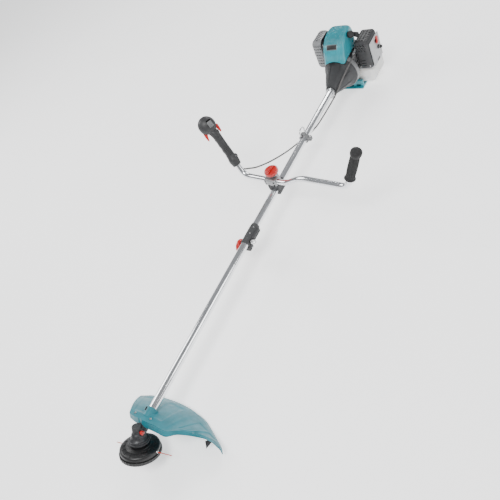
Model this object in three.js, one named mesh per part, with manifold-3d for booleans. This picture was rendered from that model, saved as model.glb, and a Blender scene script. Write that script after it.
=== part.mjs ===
// Petrol string trimmer with a two-piece shaft and a bicycle handlebar, as an assembly of separate parts.
//
// Millimetres, +Z up. The machine lies as it is put down: the shaft is level, and it rests on the guard's
// rear rim and on the foot under the fuel tank. +Y runs along the shaft towards the engine, +X is across,
// and the origin is the middle of the tank foot's sole.
//
// Most parts are laid out in the shaft frame: x across, y along the shaft axis from the point where it
// meets the trimmer head's spin axis, z up from the shaft axis. The head has a frame of its own, with z
// along the spin axis.

import * as THREE from 'three';
import { mergeVertices } from 'three/addons/utils/BufferGeometryUtils.js';
import Module from 'manifold-3d';

const wasm = await Module();
wasm.setup();

// ---- Driving dimensions ----

const TUBE_RADIUS = 14;
const TUBE_WALL = 1.6;
const GAP = 0.3;
const AXIS_HEIGHT = 116;
const FOOT_AT = 1740;
const GEAR_ANGLE = 57.2;

const LOWER_TUBE_START = 56;
const LOWER_TUBE_END = 778;
const UPPER_TUBE_START = 782;
const UPPER_TUBE_END = 1602;
const DRIVE_RADIUS = 4;

const PINION_TEETH = 14;
const WHEEL_TEETH = 19;
const GEAR_DISTANCE = 15;
const GEAR_FACE = 5.5;

const HEAD_RADIUS = 65.4;
const LINE_RADIUS = 1.35;
const LINE_LEVEL = -45.5;

const COUPLER_START = 735;
const COUPLER_END = 825;
const COUPLER_RADIUS = 17;
const COUPLER_BOLT_AT = 742;
const COUPLER_BOLT_DROP = 21.5;
const LOCK_PIN_AT = 752;

const FOLD_AT = 1026;
const BAR_SETBACK = 16;
const BAR_HEIGHT = 42;
const BAR_RADIUS = 11;
const BAR_WALL = 2;
const BAR_TURN = -7;

const RING_AT = 1284;
const ENGINE_AT = 1756;
const CLAMP_RING_START = 1556;
const STARTER_AT = 1830;
const REEL_RADIUS = 24;

const degrees = (value) => THREE.MathUtils.degToRad(value);

// ---- Materials ----

function paint(color, roughness, metalness) {
  return new THREE.MeshStandardMaterial({ color, roughness, metalness });
}

const teal = paint(0x2f93a3, 0.42, 0);
const darkPlastic = paint(0x4a4b4d, 0.55, 0);
const greyPlastic = paint(0x8f9092, 0.5, 0);
const palePlastic = paint(0xbfc0c2, 0.45, 0);
const blackPlastic = paint(0x161617, 0.45, 0);
const redPlastic = paint(0xd0302a, 0.35, 0);
const tankPlastic = paint(0xe2e0dd, 0.4, 0);
const rubber = paint(0x242425, 0.8, 0);
const chrome = paint(0xdfe1e4, 0.14, 1);
const castAlloy = paint(0x9b9da0, 0.45, 0.9);
const darkCast = paint(0x505255, 0.5, 0.6);
const steel = paint(0xa4a6a8, 0.35, 1);
const nylonLine = paint(0xe2452d, 0.4, 0);

// ---- Solids: closed meshes that join and cut one another ----

function solid(geometry) {
  const bare = geometry.clone();
  bare.deleteAttribute('normal');
  bare.deleteAttribute('uv');
  const merged = mergeVertices(bare, 1e-4);
  const mesh = new wasm.Mesh({
    numProp: 3,
    vertProperties: new Float32Array(merged.attributes.position.array),
    triVerts: new Uint32Array(merged.index.array),
  });
  mesh.merge();
  return new wasm.Manifold(mesh);
}

function geometryOf(body) {
  const mesh = body.getMesh();
  const geometry = new THREE.BufferGeometry();
  geometry.setAttribute('position', new THREE.BufferAttribute(mesh.vertProperties, 3));
  geometry.setIndex(new THREE.BufferAttribute(mesh.triVerts, 1));
  geometry.computeVertexNormals();
  return geometry;
}

function cut(body, ...tools) {
  return tools.reduce((left, tool) => left.subtract(tool), body);
}

function join(body, ...others) {
  return others.reduce((left, other) => left.add(other), body);
}

function moved(geometry, x, y, z) {
  return geometry.translate(x, y, z);
}

// A box from its two opposite corners.
function block(low, high) {
  const size = high.map((value, i) => value - low[i]);
  const centre = high.map((value, i) => (value + low[i]) / 2);
  return solid(moved(new THREE.BoxGeometry(...size), ...centre));
}

function extruded(shape, depth, bevel = 0, curveSegments = 6) {
  const geometry = new THREE.ExtrudeGeometry(shape, {
    depth: depth - 2 * bevel,
    bevelEnabled: bevel > 0,
    bevelThickness: bevel,
    bevelSize: bevel,
    bevelOffset: -bevel,
    bevelSegments: 2,
    curveSegments,
  });
  return geometry.translate(0, 0, bevel);
}

// The corner points of a rounded rectangle about the origin, at one height.
function outlineRing(width, height, radius, z) {
  const ring = [];
  const steps = 3;
  const corners = [[1, 1], [-1, 1], [-1, -1], [1, -1]];
  corners.forEach(([x, y], quarter) => {
    for (let i = 0; i <= steps; i += 1) {
      const turn = (quarter + i / steps) * (Math.PI / 2);
      ring.push([
        x * (width / 2 - radius) + radius * Math.cos(turn),
        y * (height / 2 - radius) + radius * Math.sin(turn),
        z,
      ]);
    }
  });
  return ring;
}

// A rounded box between two corners. Its outline is seen along x, y or z, and its ends may be rounded.
function roundedBlock(low, high, along, radius, rounding = 0) {
  const size = high.map((value, i) => value - low[i]);
  const centre = high.map((value, i) => (value + low[i]) / 2);
  const order = { x: [1, 2, 0], y: [2, 0, 1], z: [0, 1, 2] }[along];
  const [width, height, depth] = order.map((axis) => size[axis]);
  const layers = rounding > 0 ? [0, 0.5, 1] : [1];
  const ends = layers.map((share) => {
    const turn = share * (Math.PI / 2);
    return [rounding * (1 - Math.sin(turn)), depth / 2 - rounding * (1 - Math.cos(turn))];
  });
  const levels = [...ends.map(([inset, z]) => [inset, -z]), ...ends.reverse()];
  const rings = levels.map(([inset, z]) => outlineRing(
    width - 2 * inset, height - 2 * inset, Math.max(radius - inset, 0.4), z));
  const placed = rings.map((ring) => ring.map((point) => {
    const out = [0, 0, 0];
    order.forEach((axis, i) => { out[axis] = point[i] + centre[axis]; });
    return out;
  }));
  return stackedSolid(placed);
}

// A body through stacked rings that bulge outward, closed at each end by a fan.
function stackedSolid(rings) {
  const count = rings[0].length;
  const index = [];
  for (let i = 0; i < rings.length - 1; i += 1) {
    for (let j = 0; j < count; j += 1) {
      const here = i * count + j;
      const beside = i * count + ((j + 1) % count);
      index.push(here, beside, beside + count, here, beside + count, here + count);
    }
  }
  const last = (rings.length - 1) * count;
  for (let j = 1; j < count - 1; j += 1) {
    index.push(0, j + 1, j, last, last + j, last + j + 1);
  }
  const geometry = new THREE.BufferGeometry();
  geometry.setAttribute('position', new THREE.Float32BufferAttribute(rings.flat(2), 3));
  geometry.setIndex(index);
  return solidFacingOut(geometry);
}

// A body of revolution about z from [radius, height] points that start and end on the axis.
function turned(points, segments = 20) {
  return new THREE.LatheGeometry(points.map(([r, z]) => new THREE.Vector2(r, z)), segments)
    .rotateX(Math.PI / 2);
}

// The same with a hole through it: the profile closes on itself.
function ringed(points, segments = 20) {
  return turned([...points, points[0]], segments);
}

// Points of a profile run anticlockwise seen with the radius to the right, so faces point out.
function rod(radius, from, to, segments = 16) {
  return turned([[0, from], [radius, from], [radius, to], [0, to]], segments);
}

function sleeve(outer, inner, from, to, segments = 20) {
  return ringed([[inner, from], [outer, from], [outer, to], [inner, to]], segments);
}

// Turns a body made along z so that it runs along the shaft (+y), or across it (+x).
const alongShaft = (geometry) => geometry.rotateX(-Math.PI / 2).rotateY(Math.PI);
const acrossShaft = (geometry) => geometry.rotateY(Math.PI / 2);

function alongY(geometry, x, y, z) {
  return moved(alongShaft(geometry), x, y, z);
}

// A round bar along an open curve, or a tube if it has a bore.
function tubeAlong(curve, radius, steps, sides, bore = 0) {
  const outline = new THREE.Shape();
  outline.absarc(0, 0, radius, 0, Math.PI * 2);
  if (bore > 0) outline.holes.push(new THREE.Path().absarc(0, 0, bore, 0, Math.PI * 2, true));
  return new THREE.ExtrudeGeometry(outline, {
    extrudePath: curve,
    steps,
    curveSegments: sides / 2,
    bevelEnabled: false,
  });
}

// Straight runs joined by bends, each starting the given distance before its corner.
function bentPath(corners, easing) {
  const path = new THREE.CurvePath();
  const points = corners.map((corner) => new THREE.Vector3(...corner));
  let start = points[0];
  for (let i = 1; i < points.length - 1; i += 1) {
    const into = points[i].clone().sub(points[i - 1]).normalize();
    const out = points[i + 1].clone().sub(points[i]).normalize();
    const bendStart = points[i].clone().addScaledVector(into, -easing);
    const bendEnd = points[i].clone().addScaledVector(out, easing);
    path.add(new THREE.LineCurve3(start, bendStart));
    path.add(new THREE.QuadraticBezierCurve3(bendStart, points[i], bendEnd));
    start = bendEnd;
  }
  path.add(new THREE.LineCurve3(start, points[points.length - 1]));
  return path;
}

// ---- The tree of frames ----

const trimmer = new THREE.Group();

const shaftFrame = new THREE.Group();
shaftFrame.position.set(0, -FOOT_AT, AXIS_HEIGHT);
trimmer.add(shaftFrame);

const headFrame = new THREE.Group();
headFrame.rotation.x = -degrees(90 - GEAR_ANGLE);
shaftFrame.add(headFrame);

const barFrame = new THREE.Group();
barFrame.position.set(0, FOLD_AT, 0);
barFrame.rotation.z = degrees(BAR_TURN);
shaftFrame.add(barFrame);

function part(name, shape, material, frame) {
  const geometry = shape instanceof THREE.BufferGeometry ? shape : geometryOf(shape);
  const mesh = new THREE.Mesh(geometry, material);
  mesh.name = name;
  frame.add(mesh);
  return mesh;
}

// The shaft's direction in the head frame, for cutting head parts along it.
const shaftTilt = degrees(90 - GEAR_ANGLE);
const alongShaftInHead = (geometry) => alongShaft(geometry).rotateX(shaftTilt);

// ---- Shaft: two tubes and the drive shafts inside them ----

function lowerTube() {
  const bore = TUBE_RADIUS - TUBE_WALL;
  const tube = solid(alongY(sleeve(TUBE_RADIUS, bore, LOWER_TUBE_START, LOWER_TUBE_END), 0, 0, 0));
  const keyway = block([8, LOCK_PIN_AT - 8, -4.3], [20, LOWER_TUBE_END + 5, 4.3]);
  return cut(tube, keyway);
}

function upperTube() {
  return alongY(sleeve(TUBE_RADIUS, TUBE_RADIUS - TUBE_WALL, UPPER_TUBE_START, UPPER_TUBE_END), 0, 0, 0);
}

// The lower drive shaft ends in a square tongue, and the upper one has a socket that takes it.
const SOCKET_START = 770;

function lowerDriveShaft() {
  const shaft = solid(alongY(rod(DRIVE_RADIUS, 7, SOCKET_START - 6, 12), 0, 0, 0));
  const tongue = block([-2.5, SOCKET_START - 8, -2.5], [2.5, SOCKET_START + 22, 2.5]);
  return join(shaft, tongue);
}

function upperDriveShaft() {
  const shaft = solid(alongY(rod(DRIVE_RADIUS, SOCKET_START + 26, 1624, 12), 0, 0, 0));
  const socket = solid(alongY(rod(7, SOCKET_START, SOCKET_START + 30, 16), 0, 0, 0));
  const square = block([-2.8, SOCKET_START - 2, -2.8], [2.8, SOCKET_START + 24, 2.8]);
  return cut(join(shaft, socket), square);
}

// ---- Bevel gears ----

// Each gear's teeth run to the point where the shafts' axes meet. Gears point along +z from there.
function bevelGear(teeth, pitchAngle, boreRadius, backFrom, phase) {
  const inner = GEAR_DISTANCE - GEAR_FACE;
  const addendum = degrees(3.4);
  const dedendum = degrees(5.4);
  const rings = [];
  for (let i = 0; i < teeth * 4; i += 1) {
    const tooth = Math.floor(i / 4);
    const corner = i % 4;
    const tip = corner === 1 || corner === 2;
    const share = [-0.22, -0.09, 0.09, 0.22][corner];
    const turn = ((tooth + share) / teeth) * Math.PI * 2 + phase;
    const angle = pitchAngle + (tip ? addendum : -dedendum);
    const section = [
      [boreRadius, backFrom],
      [GEAR_DISTANCE * Math.sin(pitchAngle - dedendum), backFrom],
      [GEAR_DISTANCE * Math.sin(angle), GEAR_DISTANCE * Math.cos(angle)],
      [inner * Math.sin(angle), inner * Math.cos(angle)],
      [boreRadius, inner * Math.cos(pitchAngle - dedendum)],
    ];
    rings.push(section.map(([r, z]) => [r * Math.cos(turn), r * Math.sin(turn), z]));
  }
  return ringSolid(rings);
}

// Closes a loop of equal point rings into one body.
function ringSolid(rings) {
  const count = rings[0].length;
  const positions = rings.flat(2);
  const index = [];
  for (let i = 0; i < rings.length; i += 1) {
    const here = i * count;
    const next = ((i + 1) % rings.length) * count;
    for (let j = 0; j < count; j += 1) {
      const k = (j + 1) % count;
      index.push(here + j, here + k, next + k, here + j, next + k, next + j);
    }
  }
  const geometry = new THREE.BufferGeometry();
  geometry.setAttribute('position', new THREE.Float32BufferAttribute(positions, 3));
  geometry.setIndex(index);
  return solidFacingOut(geometry);
}

// Turns the faces round if they point in.
function solidFacingOut(geometry) {
  const body = solid(geometry);
  if (body.volume() > 0) return body;
  const index = geometry.index.array;
  for (let i = 0; i < index.length; i += 3) [index[i], index[i + 1]] = [index[i + 1], index[i]];
  return solid(geometry);
}

const shaftAngle = Math.PI - degrees(GEAR_ANGLE);
const toothRatio = WHEEL_TEETH / PINION_TEETH;
const pinionAngle = Math.atan2(Math.sin(shaftAngle), toothRatio + Math.cos(shaftAngle));
const wheelAngle = shaftAngle - pinionAngle;

// The wheel hangs below the meeting point, so it is turned over; a tooth of it faces the shaft's side.
function bevelWheel() {
  const halfTooth = Math.PI / WHEEL_TEETH;
  const facing = -Math.PI / 2;
  const back = GEAR_DISTANCE * Math.cos(wheelAngle) + 4.2;
  const wheel = bevelGear(WHEEL_TEETH, wheelAngle, 6.2, back, facing + halfTooth);
  return wheel.rotate([180, 0, 0]);
}

// The pinion's tooth is centred where the wheel has a gap.
function bevelPinion() {
  const back = GEAR_DISTANCE * Math.cos(pinionAngle) + 5;
  const pinion = bevelGear(PINION_TEETH, pinionAngle, DRIVE_RADIUS + 0.25, back, Math.PI / 2);
  return geometryOf(pinion).rotateX(-Math.PI / 2);
}

// ---- Gear case and trimmer head, in the head frame ----

function gearCase() {
  const flared = solid(turned([
    [0, -21], [31, -21], [33.5, -19.5], [33.5, -15], [30, -13.5], [30, -10], [26, -8.5],
    [22.5, -4], [17.5, 6], [15.6, 14], [15, 28], [0, 28],
  ], 18));
  const bulge = solid(new THREE.SphereGeometry(20.6, 14, 10));
  const neck = solid(alongShaftInHead(rod(18.6, 0, 76, 20)));
  const chamber = solid(new THREE.SphereGeometry(17.6, 12, 8));
  const shaftBore = solid(alongShaftInHead(rod(5, 0, 80, 12)));
  const tubeBore = solid(alongShaftInHead(rod(TUBE_RADIUS + GAP, LOWER_TUBE_START - GAP, 90, 18)));
  const bottom = solid(rod(17.4, -30, -6, 18));
  const top = solid(rod(11, 4, 40, 18));
  const pinionRoom = solid(alongShaftInHead(rod(13.4, 0, 24)));
  const capRoom = solid(rod(15, 28, 60, 18));
  const plugHole = solid(moved(acrossShaft(rod(4.4, 0, 40)), 0, 0, 17));
  return cut(join(flared, bulge, neck), chamber, pinionRoom, shaftBore, tubeBore, bottom, top, capRoom,
    plugHole);
}

function gearCaseCap() {
  return turned([[0, 21], [10.7, 21], [10.7, 28.3], [14.4, 28.3], [14.4, 33.8], [13, 35.2], [0, 35.2]], 18);
}

function greasePlug() {
  const thread = solid(moved(acrossShaft(rod(4.1, 12.5, 20, 16)), 0, 0, 17));
  const head = solid(moved(acrossShaft(rod(6.6, 18.4, 26, 18)), 0, 0, 17));
  return join(thread, head);
}

function outputBearing() {
  return sleeve(17.1, 9.4, -20.5, -13, 32);
}

function outputShaft() {
  return turned([
    [0, -58], [7, -58], [7, -49], [13, -49], [13, -43], [9.1, -43], [9.1, -11], [5.9, -11],
    [5.9, -2.5], [0, -2.5],
  ], 18);
}

function headCover() {
  const profile = [
    [9.5, -24], [24, -24], [27, -26.5], [35, -27.5], [41, -31], [56, -34], [60.5, -37], [62, -41],
    [62, -50], [59.6, -50], [59.6, -41], [57.5, -38.2], [53, -36.6], [40, -33.8], [33, -30.4],
    [24, -29.5], [21.5, -27], [16, -27], [16, -40.5], [9.5, -40.5],
  ];
  const eyelets = solid(acrossShaft(rod(2.2, -70, 70, 10)).rotateZ(lineTurn).translate(0, 0, LINE_LEVEL));
  return cut(solid(ringed(profile.reverse(), 24)), eyelets);
}

function headBowl() {
  const profile = [
    [59.4, -50.4], [HEAD_RADIUS - 0.6, -50.4], [HEAD_RADIUS, -52], [HEAD_RADIUS, -59.5],
    [HEAD_RADIUS - 1.6, -61.5], [57, -66], [44, -69.5], [29, -70.5], [29, -67.5], [43, -66.5],
    [55, -63.2], [59.4, -59.5],
  ];
  return ringed(profile.reverse(), 24);
}

// The spool lifts with the bump button, so it has that much room above it.
function spool() {
  return ringed([
    [14, -60], [52, -60], [52, -58], [34, -57], [34, -48.5], [50, -47.5], [50, -46], [14, -46],
  ], 20);
}

function bumpButton() {
  return turned([
    [0, -82], [12, -82], [22, -79], [26, -74], [27.4, -66], [27.4, -63], [22, -60.5], [12.4, -60.5],
    [12.4, -64], [0, -64],
  ], 20);
}

// A coil spring between the output shaft's collar and the button.
const SPRING_TOP = -49.6;
const SPRING_BOTTOM = -60.1;

class Coil extends THREE.Curve {
  getPoint(t) {
    const turn = t * Math.PI * 2 * 4;
    const height = SPRING_BOTTOM + 0.7 + t * (SPRING_TOP - SPRING_BOTTOM - 1.4);
    return new THREE.Vector3(10.2 * Math.cos(turn), 10.2 * Math.sin(turn), height);
  }
}

function bumpSpring() {
  return tubeAlong(new Coil(), 0.65, 28, 6);
}

// The two line ends leave the head opposite each other, a little turned from straight across.
const lineTurn = degrees(11);

function nylonEnd(side, reach) {
  const from = side > 0 ? 53.5 : -reach;
  const to = side > 0 ? reach : -53.5;
  return acrossShaft(rod(LINE_RADIUS, from, to, 10)).rotateZ(lineTurn).translate(0, 0, LINE_LEVEL);
}

// ---- Guard, in the head frame ----

// Rails that run from the guard's left end to its right tip: the front lip's lower and upper edges,
// the crown of the top, and the rear rim's upper and lower edges.
const guardRails = {
  frontLow: [[-50, 22, 31], [-20, 17, 27], [25, 15, 25], [68, 15, 23], [100, 17, 20], [124, 42, 19],
    [152, 73, 3], [191, 97, -14], [229, 101, -35]],
  frontHigh: [[-52, 24, 47], [-20, 17, 50], [25, 15, 50], [67, 15, 49], [100, 20, 41], [122, 46, 32],
    [150, 75, 14], [190, 96, -4], [227, 100, -27]],
  crown: [[-92, 82, 39], [-50, 92, 42], [10, 95, 42], [62, 96, 36], [104, 96, 22], [138, 101, 12],
    [168, 106, -1], [202, 108, -13], [230, 101, -29]],
  rearHigh: [[-124, 140, 17], [-84, 166, 13], [-10, 175, 12], [55, 177, 4], [108, 168, -7],
    [150, 151, -17], [186, 134, -24], [215, 119, -30], [234, 103, -35]],
  rearLow: [[-128, 146, -8], [-88, 176, -17], [-12, 185.7, -17.9], [57, 187.4, -16.7], [111, 179.6, -21.7],
    [155, 160, -34], [190, 140, -42], [218, 124, -47], [236, 106, -51]],
};

const GUARD_THICKNESS = 2.8;
const GUARD_STATIONS = 18;

function guardSection(t) {
  const at = (name) => {
    const points = guardRails[name].map((point) => new THREE.Vector3(...point));
    return new THREE.CatmullRomCurve3(points).getPoint(t);
  };
  const [frontLow, frontHigh, crown, rearHigh, rearLow] = Object.keys(guardRails).map(at);
  const top = new THREE.QuadraticBezierCurve3(
    frontHigh,
    crown.clone().multiplyScalar(2).addScaledVector(frontHigh, -0.5).addScaledVector(rearHigh, -0.5),
    rearHigh,
  );
  const across = [0, 0.12, 0.36, 0.6, 0.84].map((u) => top.getPoint(u));
  return [frontLow, ...across, rearHigh.clone().lerp(top.getPoint(0.93), 0.5), rearHigh, rearLow];
}

// The inner face follows the outer one, moved in along each section's own normal.
function innerSection(outer) {
  const centre = outer.reduce((sum, point) => sum.add(point), new THREE.Vector3())
    .multiplyScalar(1 / outer.length);
  return outer.map((point, i) => {
    const before = outer[Math.max(i - 1, 0)];
    const after = outer[Math.min(i + 1, outer.length - 1)];
    const run = after.clone().sub(before).normalize();
    const inward = centre.clone().setZ(centre.z - 60).sub(point);
    inward.addScaledVector(run, -inward.dot(run)).normalize();
    return point.clone().addScaledVector(inward, GUARD_THICKNESS);
  });
}

function guardSheet() {
  const rings = [];
  for (let i = 0; i <= GUARD_STATIONS; i += 1) {
    const outer = guardSection(i / GUARD_STATIONS);
    const inner = innerSection(outer).reverse();
    rings.push([...outer, ...inner].map((point) => point.toArray()));
  }
  return openRingSolid(rings);
}

// A body lofted through point rings, with a flat fan closing each end.
function openRingSolid(rings) {
  const count = rings[0].length;
  const positions = rings.flat(2);
  const index = [];
  for (let i = 0; i < rings.length - 1; i += 1) {
    for (let j = 0; j < count; j += 1) {
      const k = (j + 1) % count;
      const here = i * count;
      const next = here + count;
      index.push(here + j, here + k, next + k, here + j, next + k, next + j);
    }
  }
  const last = (rings.length - 1) * count;
  for (let j = 0; j < count / 2 - 1; j += 1) {
    const k = count - 1 - j;
    index.push(j, k, k - 1, j, k - 1, j + 1);
    index.push(last + j, last + k - 1, last + k, last + j, last + j + 1, last + k - 1);
  }
  const geometry = new THREE.BufferGeometry();
  geometry.setAttribute('position', new THREE.Float32BufferAttribute(positions, 3));
  geometry.setIndex(index);
  return solidFacingOut(geometry);
}

function guardShell() {
  const boss = solid(alongShaftInHead(rod(22.4, 58, 88, 18)));
  const strap = solid(alongShaftInHead(rod(TUBE_RADIUS + GAP, 60, 120, 20)));
  const neckRoom = solid(alongShaftInHead(rod(19.2, -5, 76.5, 18)));
  const capRoom = solid(rod(18, -5, 60, 18));
  return cut(join(guardSheet(), boss), strap, neckRoom, capRoom);
}

function lineCutterBlade() {
  const shape = new THREE.Shape();
  shape.moveTo(-13, 12);
  shape.lineTo(-12, -16);
  shape.lineTo(-4, -9);
  shape.lineTo(10, 2);
  shape.lineTo(11, 12);
  const blade = extruded(shape, 1.6);
  return blade.rotateX(Math.PI / 2).rotateZ(degrees(60)).translate(183, 110, -34);
}

// ---- Coupler between the two tubes ----

function couplerBody() {
  const shell = solid(alongY(turned([
    [0, COUPLER_START], [COUPLER_RADIUS - 1.5, COUPLER_START], [COUPLER_RADIUS, COUPLER_START + 2],
    [COUPLER_RADIUS, COUPLER_END - 8], [COUPLER_RADIUS - 2.5, COUPLER_END], [0, COUPLER_END],
  ]), 0, 0, 0));
  const lugs = roundedBlock([-17, 729, -31], [17, 756, -8], 'x', 5);
  const pinBoss = solid(moved(acrossShaft(rod(8.5, 11, 19.8, 18)), 0, LOCK_PIN_AT, 0));
  const fin = roundedBlock([12, 764, -7], [27, 812, 7], 'z', 5);
  const bore = solid(alongY(rod(TUBE_RADIUS + GAP, COUPLER_START - 15, COUPLER_END + 5), 0, 0, 0));
  const slit = block([-1.4, COUPLER_START - 15, -40], [1.4, 766, -5]);
  const boltHole = solid(moved(acrossShaft(rod(3.6, -40, 40, 16)), 0, COUPLER_BOLT_AT, -COUPLER_BOLT_DROP));
  const pinHole = solid(moved(acrossShaft(rod(3.9, 10, 40, 16)), 0, LOCK_PIN_AT, 0));
  return cut(join(shell, lugs, pinBoss, fin), bore, slit, boltHole, pinHole);
}

function couplerKnob() {
  const shank = solid(acrossShaft(rod(3.2, -22, 21, 16)));
  const washer = solid(acrossShaft(rod(13, -20.4, -17.6, 20)));
  const disc = solid(acrossShaft(turned([
    [0, -38], [22.5, -38], [25.5, -35.5], [25.5, -26], [23, -23], [10, -23], [10, -20.2], [0, -20.2],
  ], 24)));
  const ridge = roundedBlock([-42, -23, -3.5], [-36, 23, 3.5], 'x', 3);
  return join(shank, washer, disc, ridge).translate([0, COUPLER_BOLT_AT, -COUPLER_BOLT_DROP]);
}

// The pin's nose stands in the lower tube's keyway, and its ring is pulled to free it.
function lockPin() {
  const pin = solid(acrossShaft(rod(3.5, 12.9, 27, 16)));
  const collar = solid(acrossShaft(rod(7.6, 20.2, 23.6, 20)));
  const loop = solid(new THREE.TorusGeometry(6.4, 1.5, 6, 14).rotateY(Math.PI / 2).rotateZ(Math.PI / 2));
  return join(pin, collar, loop.translate([32, 0, 0])).translate([0, LOCK_PIN_AT, 0]);
}

// ---- Handlebar clamp ----

const CLAMP_START = FOLD_AT - 30;
const CLAMP_END = FOLD_AT + 20;

function barClampLower() {
  const shoe = roundedBlock([-19, CLAMP_START, -20], [19, CLAMP_END, -GAP], 'y', 6);
  const bore = solid(alongY(rod(TUBE_RADIUS + GAP, CLAMP_START - 5, CLAMP_END + 5), 0, 0, 0));
  return cut(shoe, bore);
}

function barClampUpper() {
  const seat = roundedBlock([-23, CLAMP_START, GAP], [23, CLAMP_END, 27.6], 'y', 4);
  const bore = solid(alongY(rod(TUBE_RADIUS + GAP, CLAMP_START - 5, CLAMP_END + 5), 0, 0, 0));
  const thread = solid(moved(rod(4.4, 16, 40, 16), 0, FOLD_AT, 0));
  return cut(seat, bore, thread);
}

// The swivel block holds the bar and turns on the knob's stud. It is laid out in the bar frame.
function barSwivel() {
  const saddle = roundedBlock([-28, -BAR_SETBACK - 17, 28], [28, -BAR_SETBACK + 15, 57], 'x', 9);
  const tower = solid(turned([[0, 28], [21, 28], [19, 45], [15.5, 62.5], [0, 62.5]], 18));
  const barBore = solid(moved(acrossShaft(rod(BAR_RADIUS + GAP, -50, 50, 18)), 0, -BAR_SETBACK, BAR_HEIGHT));
  const studBore = solid(rod(4.5, 20, 70, 16));
  return cut(join(saddle, tower), barBore, studBore);
}

// The stud passes behind the bar and threads into the fixed seat.
function barKnob() {
  const stud = solid(rod(3.9, 17.5, 66, 16));
  const collar = solid(rod(17, 63, 68.4, 18));
  const grip = solid(turned([[0, 68], [25, 68], [27, 70.5], [27, 80], [24.5, 83.5], [0, 83.5]], 24));
  const ridge = roundedBlock([-5, -24, 80], [5, 24, 89], 'x', 4);
  return join(stud, collar, grip, ridge);
}

// ---- Handlebar and grips, in the bar frame ----

const LEFT_CORNER = new THREE.Vector3(-135, -BAR_SETBACK, BAR_HEIGHT);
const RIGHT_CORNER = new THREE.Vector3(341, -BAR_SETBACK, 85);
const leftRise = new THREE.Vector3(-0.45, 0.18, 0.875).normalize();
const rightRise = new THREE.Vector3(0.37, 0.19, 0.91).normalize();
const LEFT_BAR_LENGTH = 190;
const RIGHT_BAR_LENGTH = 153;

function handlebar() {
  const path = bentPath([
    LEFT_CORNER.clone().addScaledVector(leftRise, LEFT_BAR_LENGTH).toArray(),
    LEFT_CORNER.toArray(),
    [64, -BAR_SETBACK, BAR_HEIGHT],
    [148, -BAR_SETBACK, 86],
    RIGHT_CORNER.toArray(),
    RIGHT_CORNER.clone().addScaledVector(rightRise, RIGHT_BAR_LENGTH).toArray(),
  ], 30);
  return tubeAlong(path, BAR_RADIUS, 36, 12, BAR_RADIUS - BAR_WALL);
}

// A frame whose z runs up a bar end from its corner, with x towards the given side.
function barEnd(corner, rise, side) {
  const z = rise.clone();
  const y = z.clone().cross(side).normalize();
  const x = y.clone().cross(z);
  const frame = new THREE.Group();
  frame.matrixAutoUpdate = false;
  frame.matrix.makeBasis(x, y, z).setPosition(corner);
  barFrame.add(frame);
  return frame;
}

const gripFrame = barEnd(RIGHT_CORNER, rightRise, new THREE.Vector3(0, -1, 0));
// x points to where the fingers and the trigger are, ahead of the bar and outward.
const handleFrame = barEnd(LEFT_CORNER, leftRise, new THREE.Vector3(-0.55, -0.83, 0));

function handGrip() {
  const form = solid(turned([
    [0, 38], [18.5, 38], [20, 41], [18.5, 45], [15.4, 47], [16.6, 88], [15.4, 135], [18.8, 143],
    [19.8, 153], [17.5, 161], [12, 165], [0, 165],
  ], 18));
  return cut(form, solid(rod(BAR_RADIUS + GAP, 20, RIGHT_BAR_LENGTH + GAP, 18)));
}

// ---- Throttle handle, in the handle frame: z up the bar, x to the fingers ----

const HANDLE_FOOT = 50;
// The controls are drawn for a shorter grip and lifted together by this much.
const CONTROL_LIFT = 28;

function handleForm() {
  const grip = solid(turned([
    [0, HANDLE_FOOT], [15.5, HANDLE_FOOT], [18.5, 60], [20, 78], [16.8, 95], [16.2, 150], [18, 188],
    [22, 206], [0, 206],
  ], 18));
  const bulb = solid(new THREE.SphereGeometry(33, 16, 10).scale(1.05, 0.86, 1.12).translate(7, 0, 237));
  const boss = solid(new THREE.CylinderGeometry(8, 8, 26, 18).translate(-15, 0, 84));
  return join(grip, bulb, boss);
}

function handleHollow() {
  const barBore = solid(rod(BAR_RADIUS + GAP, HANDLE_FOOT - 20, LEFT_BAR_LENGTH + GAP, 18));
  const triggerSlot = block([2, -7.5, 148], [48, 7.5, 214]);
  const leverSlot = block([-34, -6.3, 158], [-10.9, 6.3, 203]);
  const switchRoom = block([-15.5, 11, 197], [3, 60, 226]);
  const rooms = join(triggerSlot, leverSlot, switchRoom).translate([0, 0, CONTROL_LIFT]);
  return join(barBore, rooms);
}

function handleHalf(side) {
  const half = side > 0 ? block([-60, GAP / 2, 0], [60, 60, 300]) : block([-60, -60, 0], [60, -GAP / 2, 300]);
  return cut(handleForm(), handleHollow()).intersect(half);
}

// The trigger hangs from a pivot in the bulb, at x 16 and z 235, and swings in towards the grip.
function throttleTrigger() {
  const shape = new THREE.Shape();
  shape.moveTo(12, 212);
  shape.lineTo(23, 212);
  shape.quadraticCurveTo(36, 205, 38, 186);
  shape.quadraticCurveTo(40, 168, 35, 156);
  shape.quadraticCurveTo(30, 164, 27, 176);
  shape.lineTo(20, 192);
  shape.lineTo(12, 200);
  return extruded(shape, 13, 0, 5).rotateX(Math.PI / 2).translate(0, 6.5, CONTROL_LIFT);
}

// The lock-off lever turns about x -17 and z 224, behind the bar.
function lockOffLever() {
  const shape = new THREE.Shape();
  shape.moveTo(-13.2, 201);
  shape.lineTo(-20, 201);
  shape.lineTo(-30, 192);
  shape.lineTo(-27.5, 164);
  shape.lineTo(-22, 161);
  shape.lineTo(-15.5, 190);
  return extruded(shape, 11, 0, 4).rotateX(Math.PI / 2).translate(0, 5.5, CONTROL_LIFT);
}

function stopSwitch() {
  const slider = roundedBlock([-15, 12.5, 197.5], [2.5, 40, 220.5], 'y', 3, 1);
  return slider.translate([0, 0, CONTROL_LIFT]);
}

// ---- Harness clamp and eyelet ----

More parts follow.
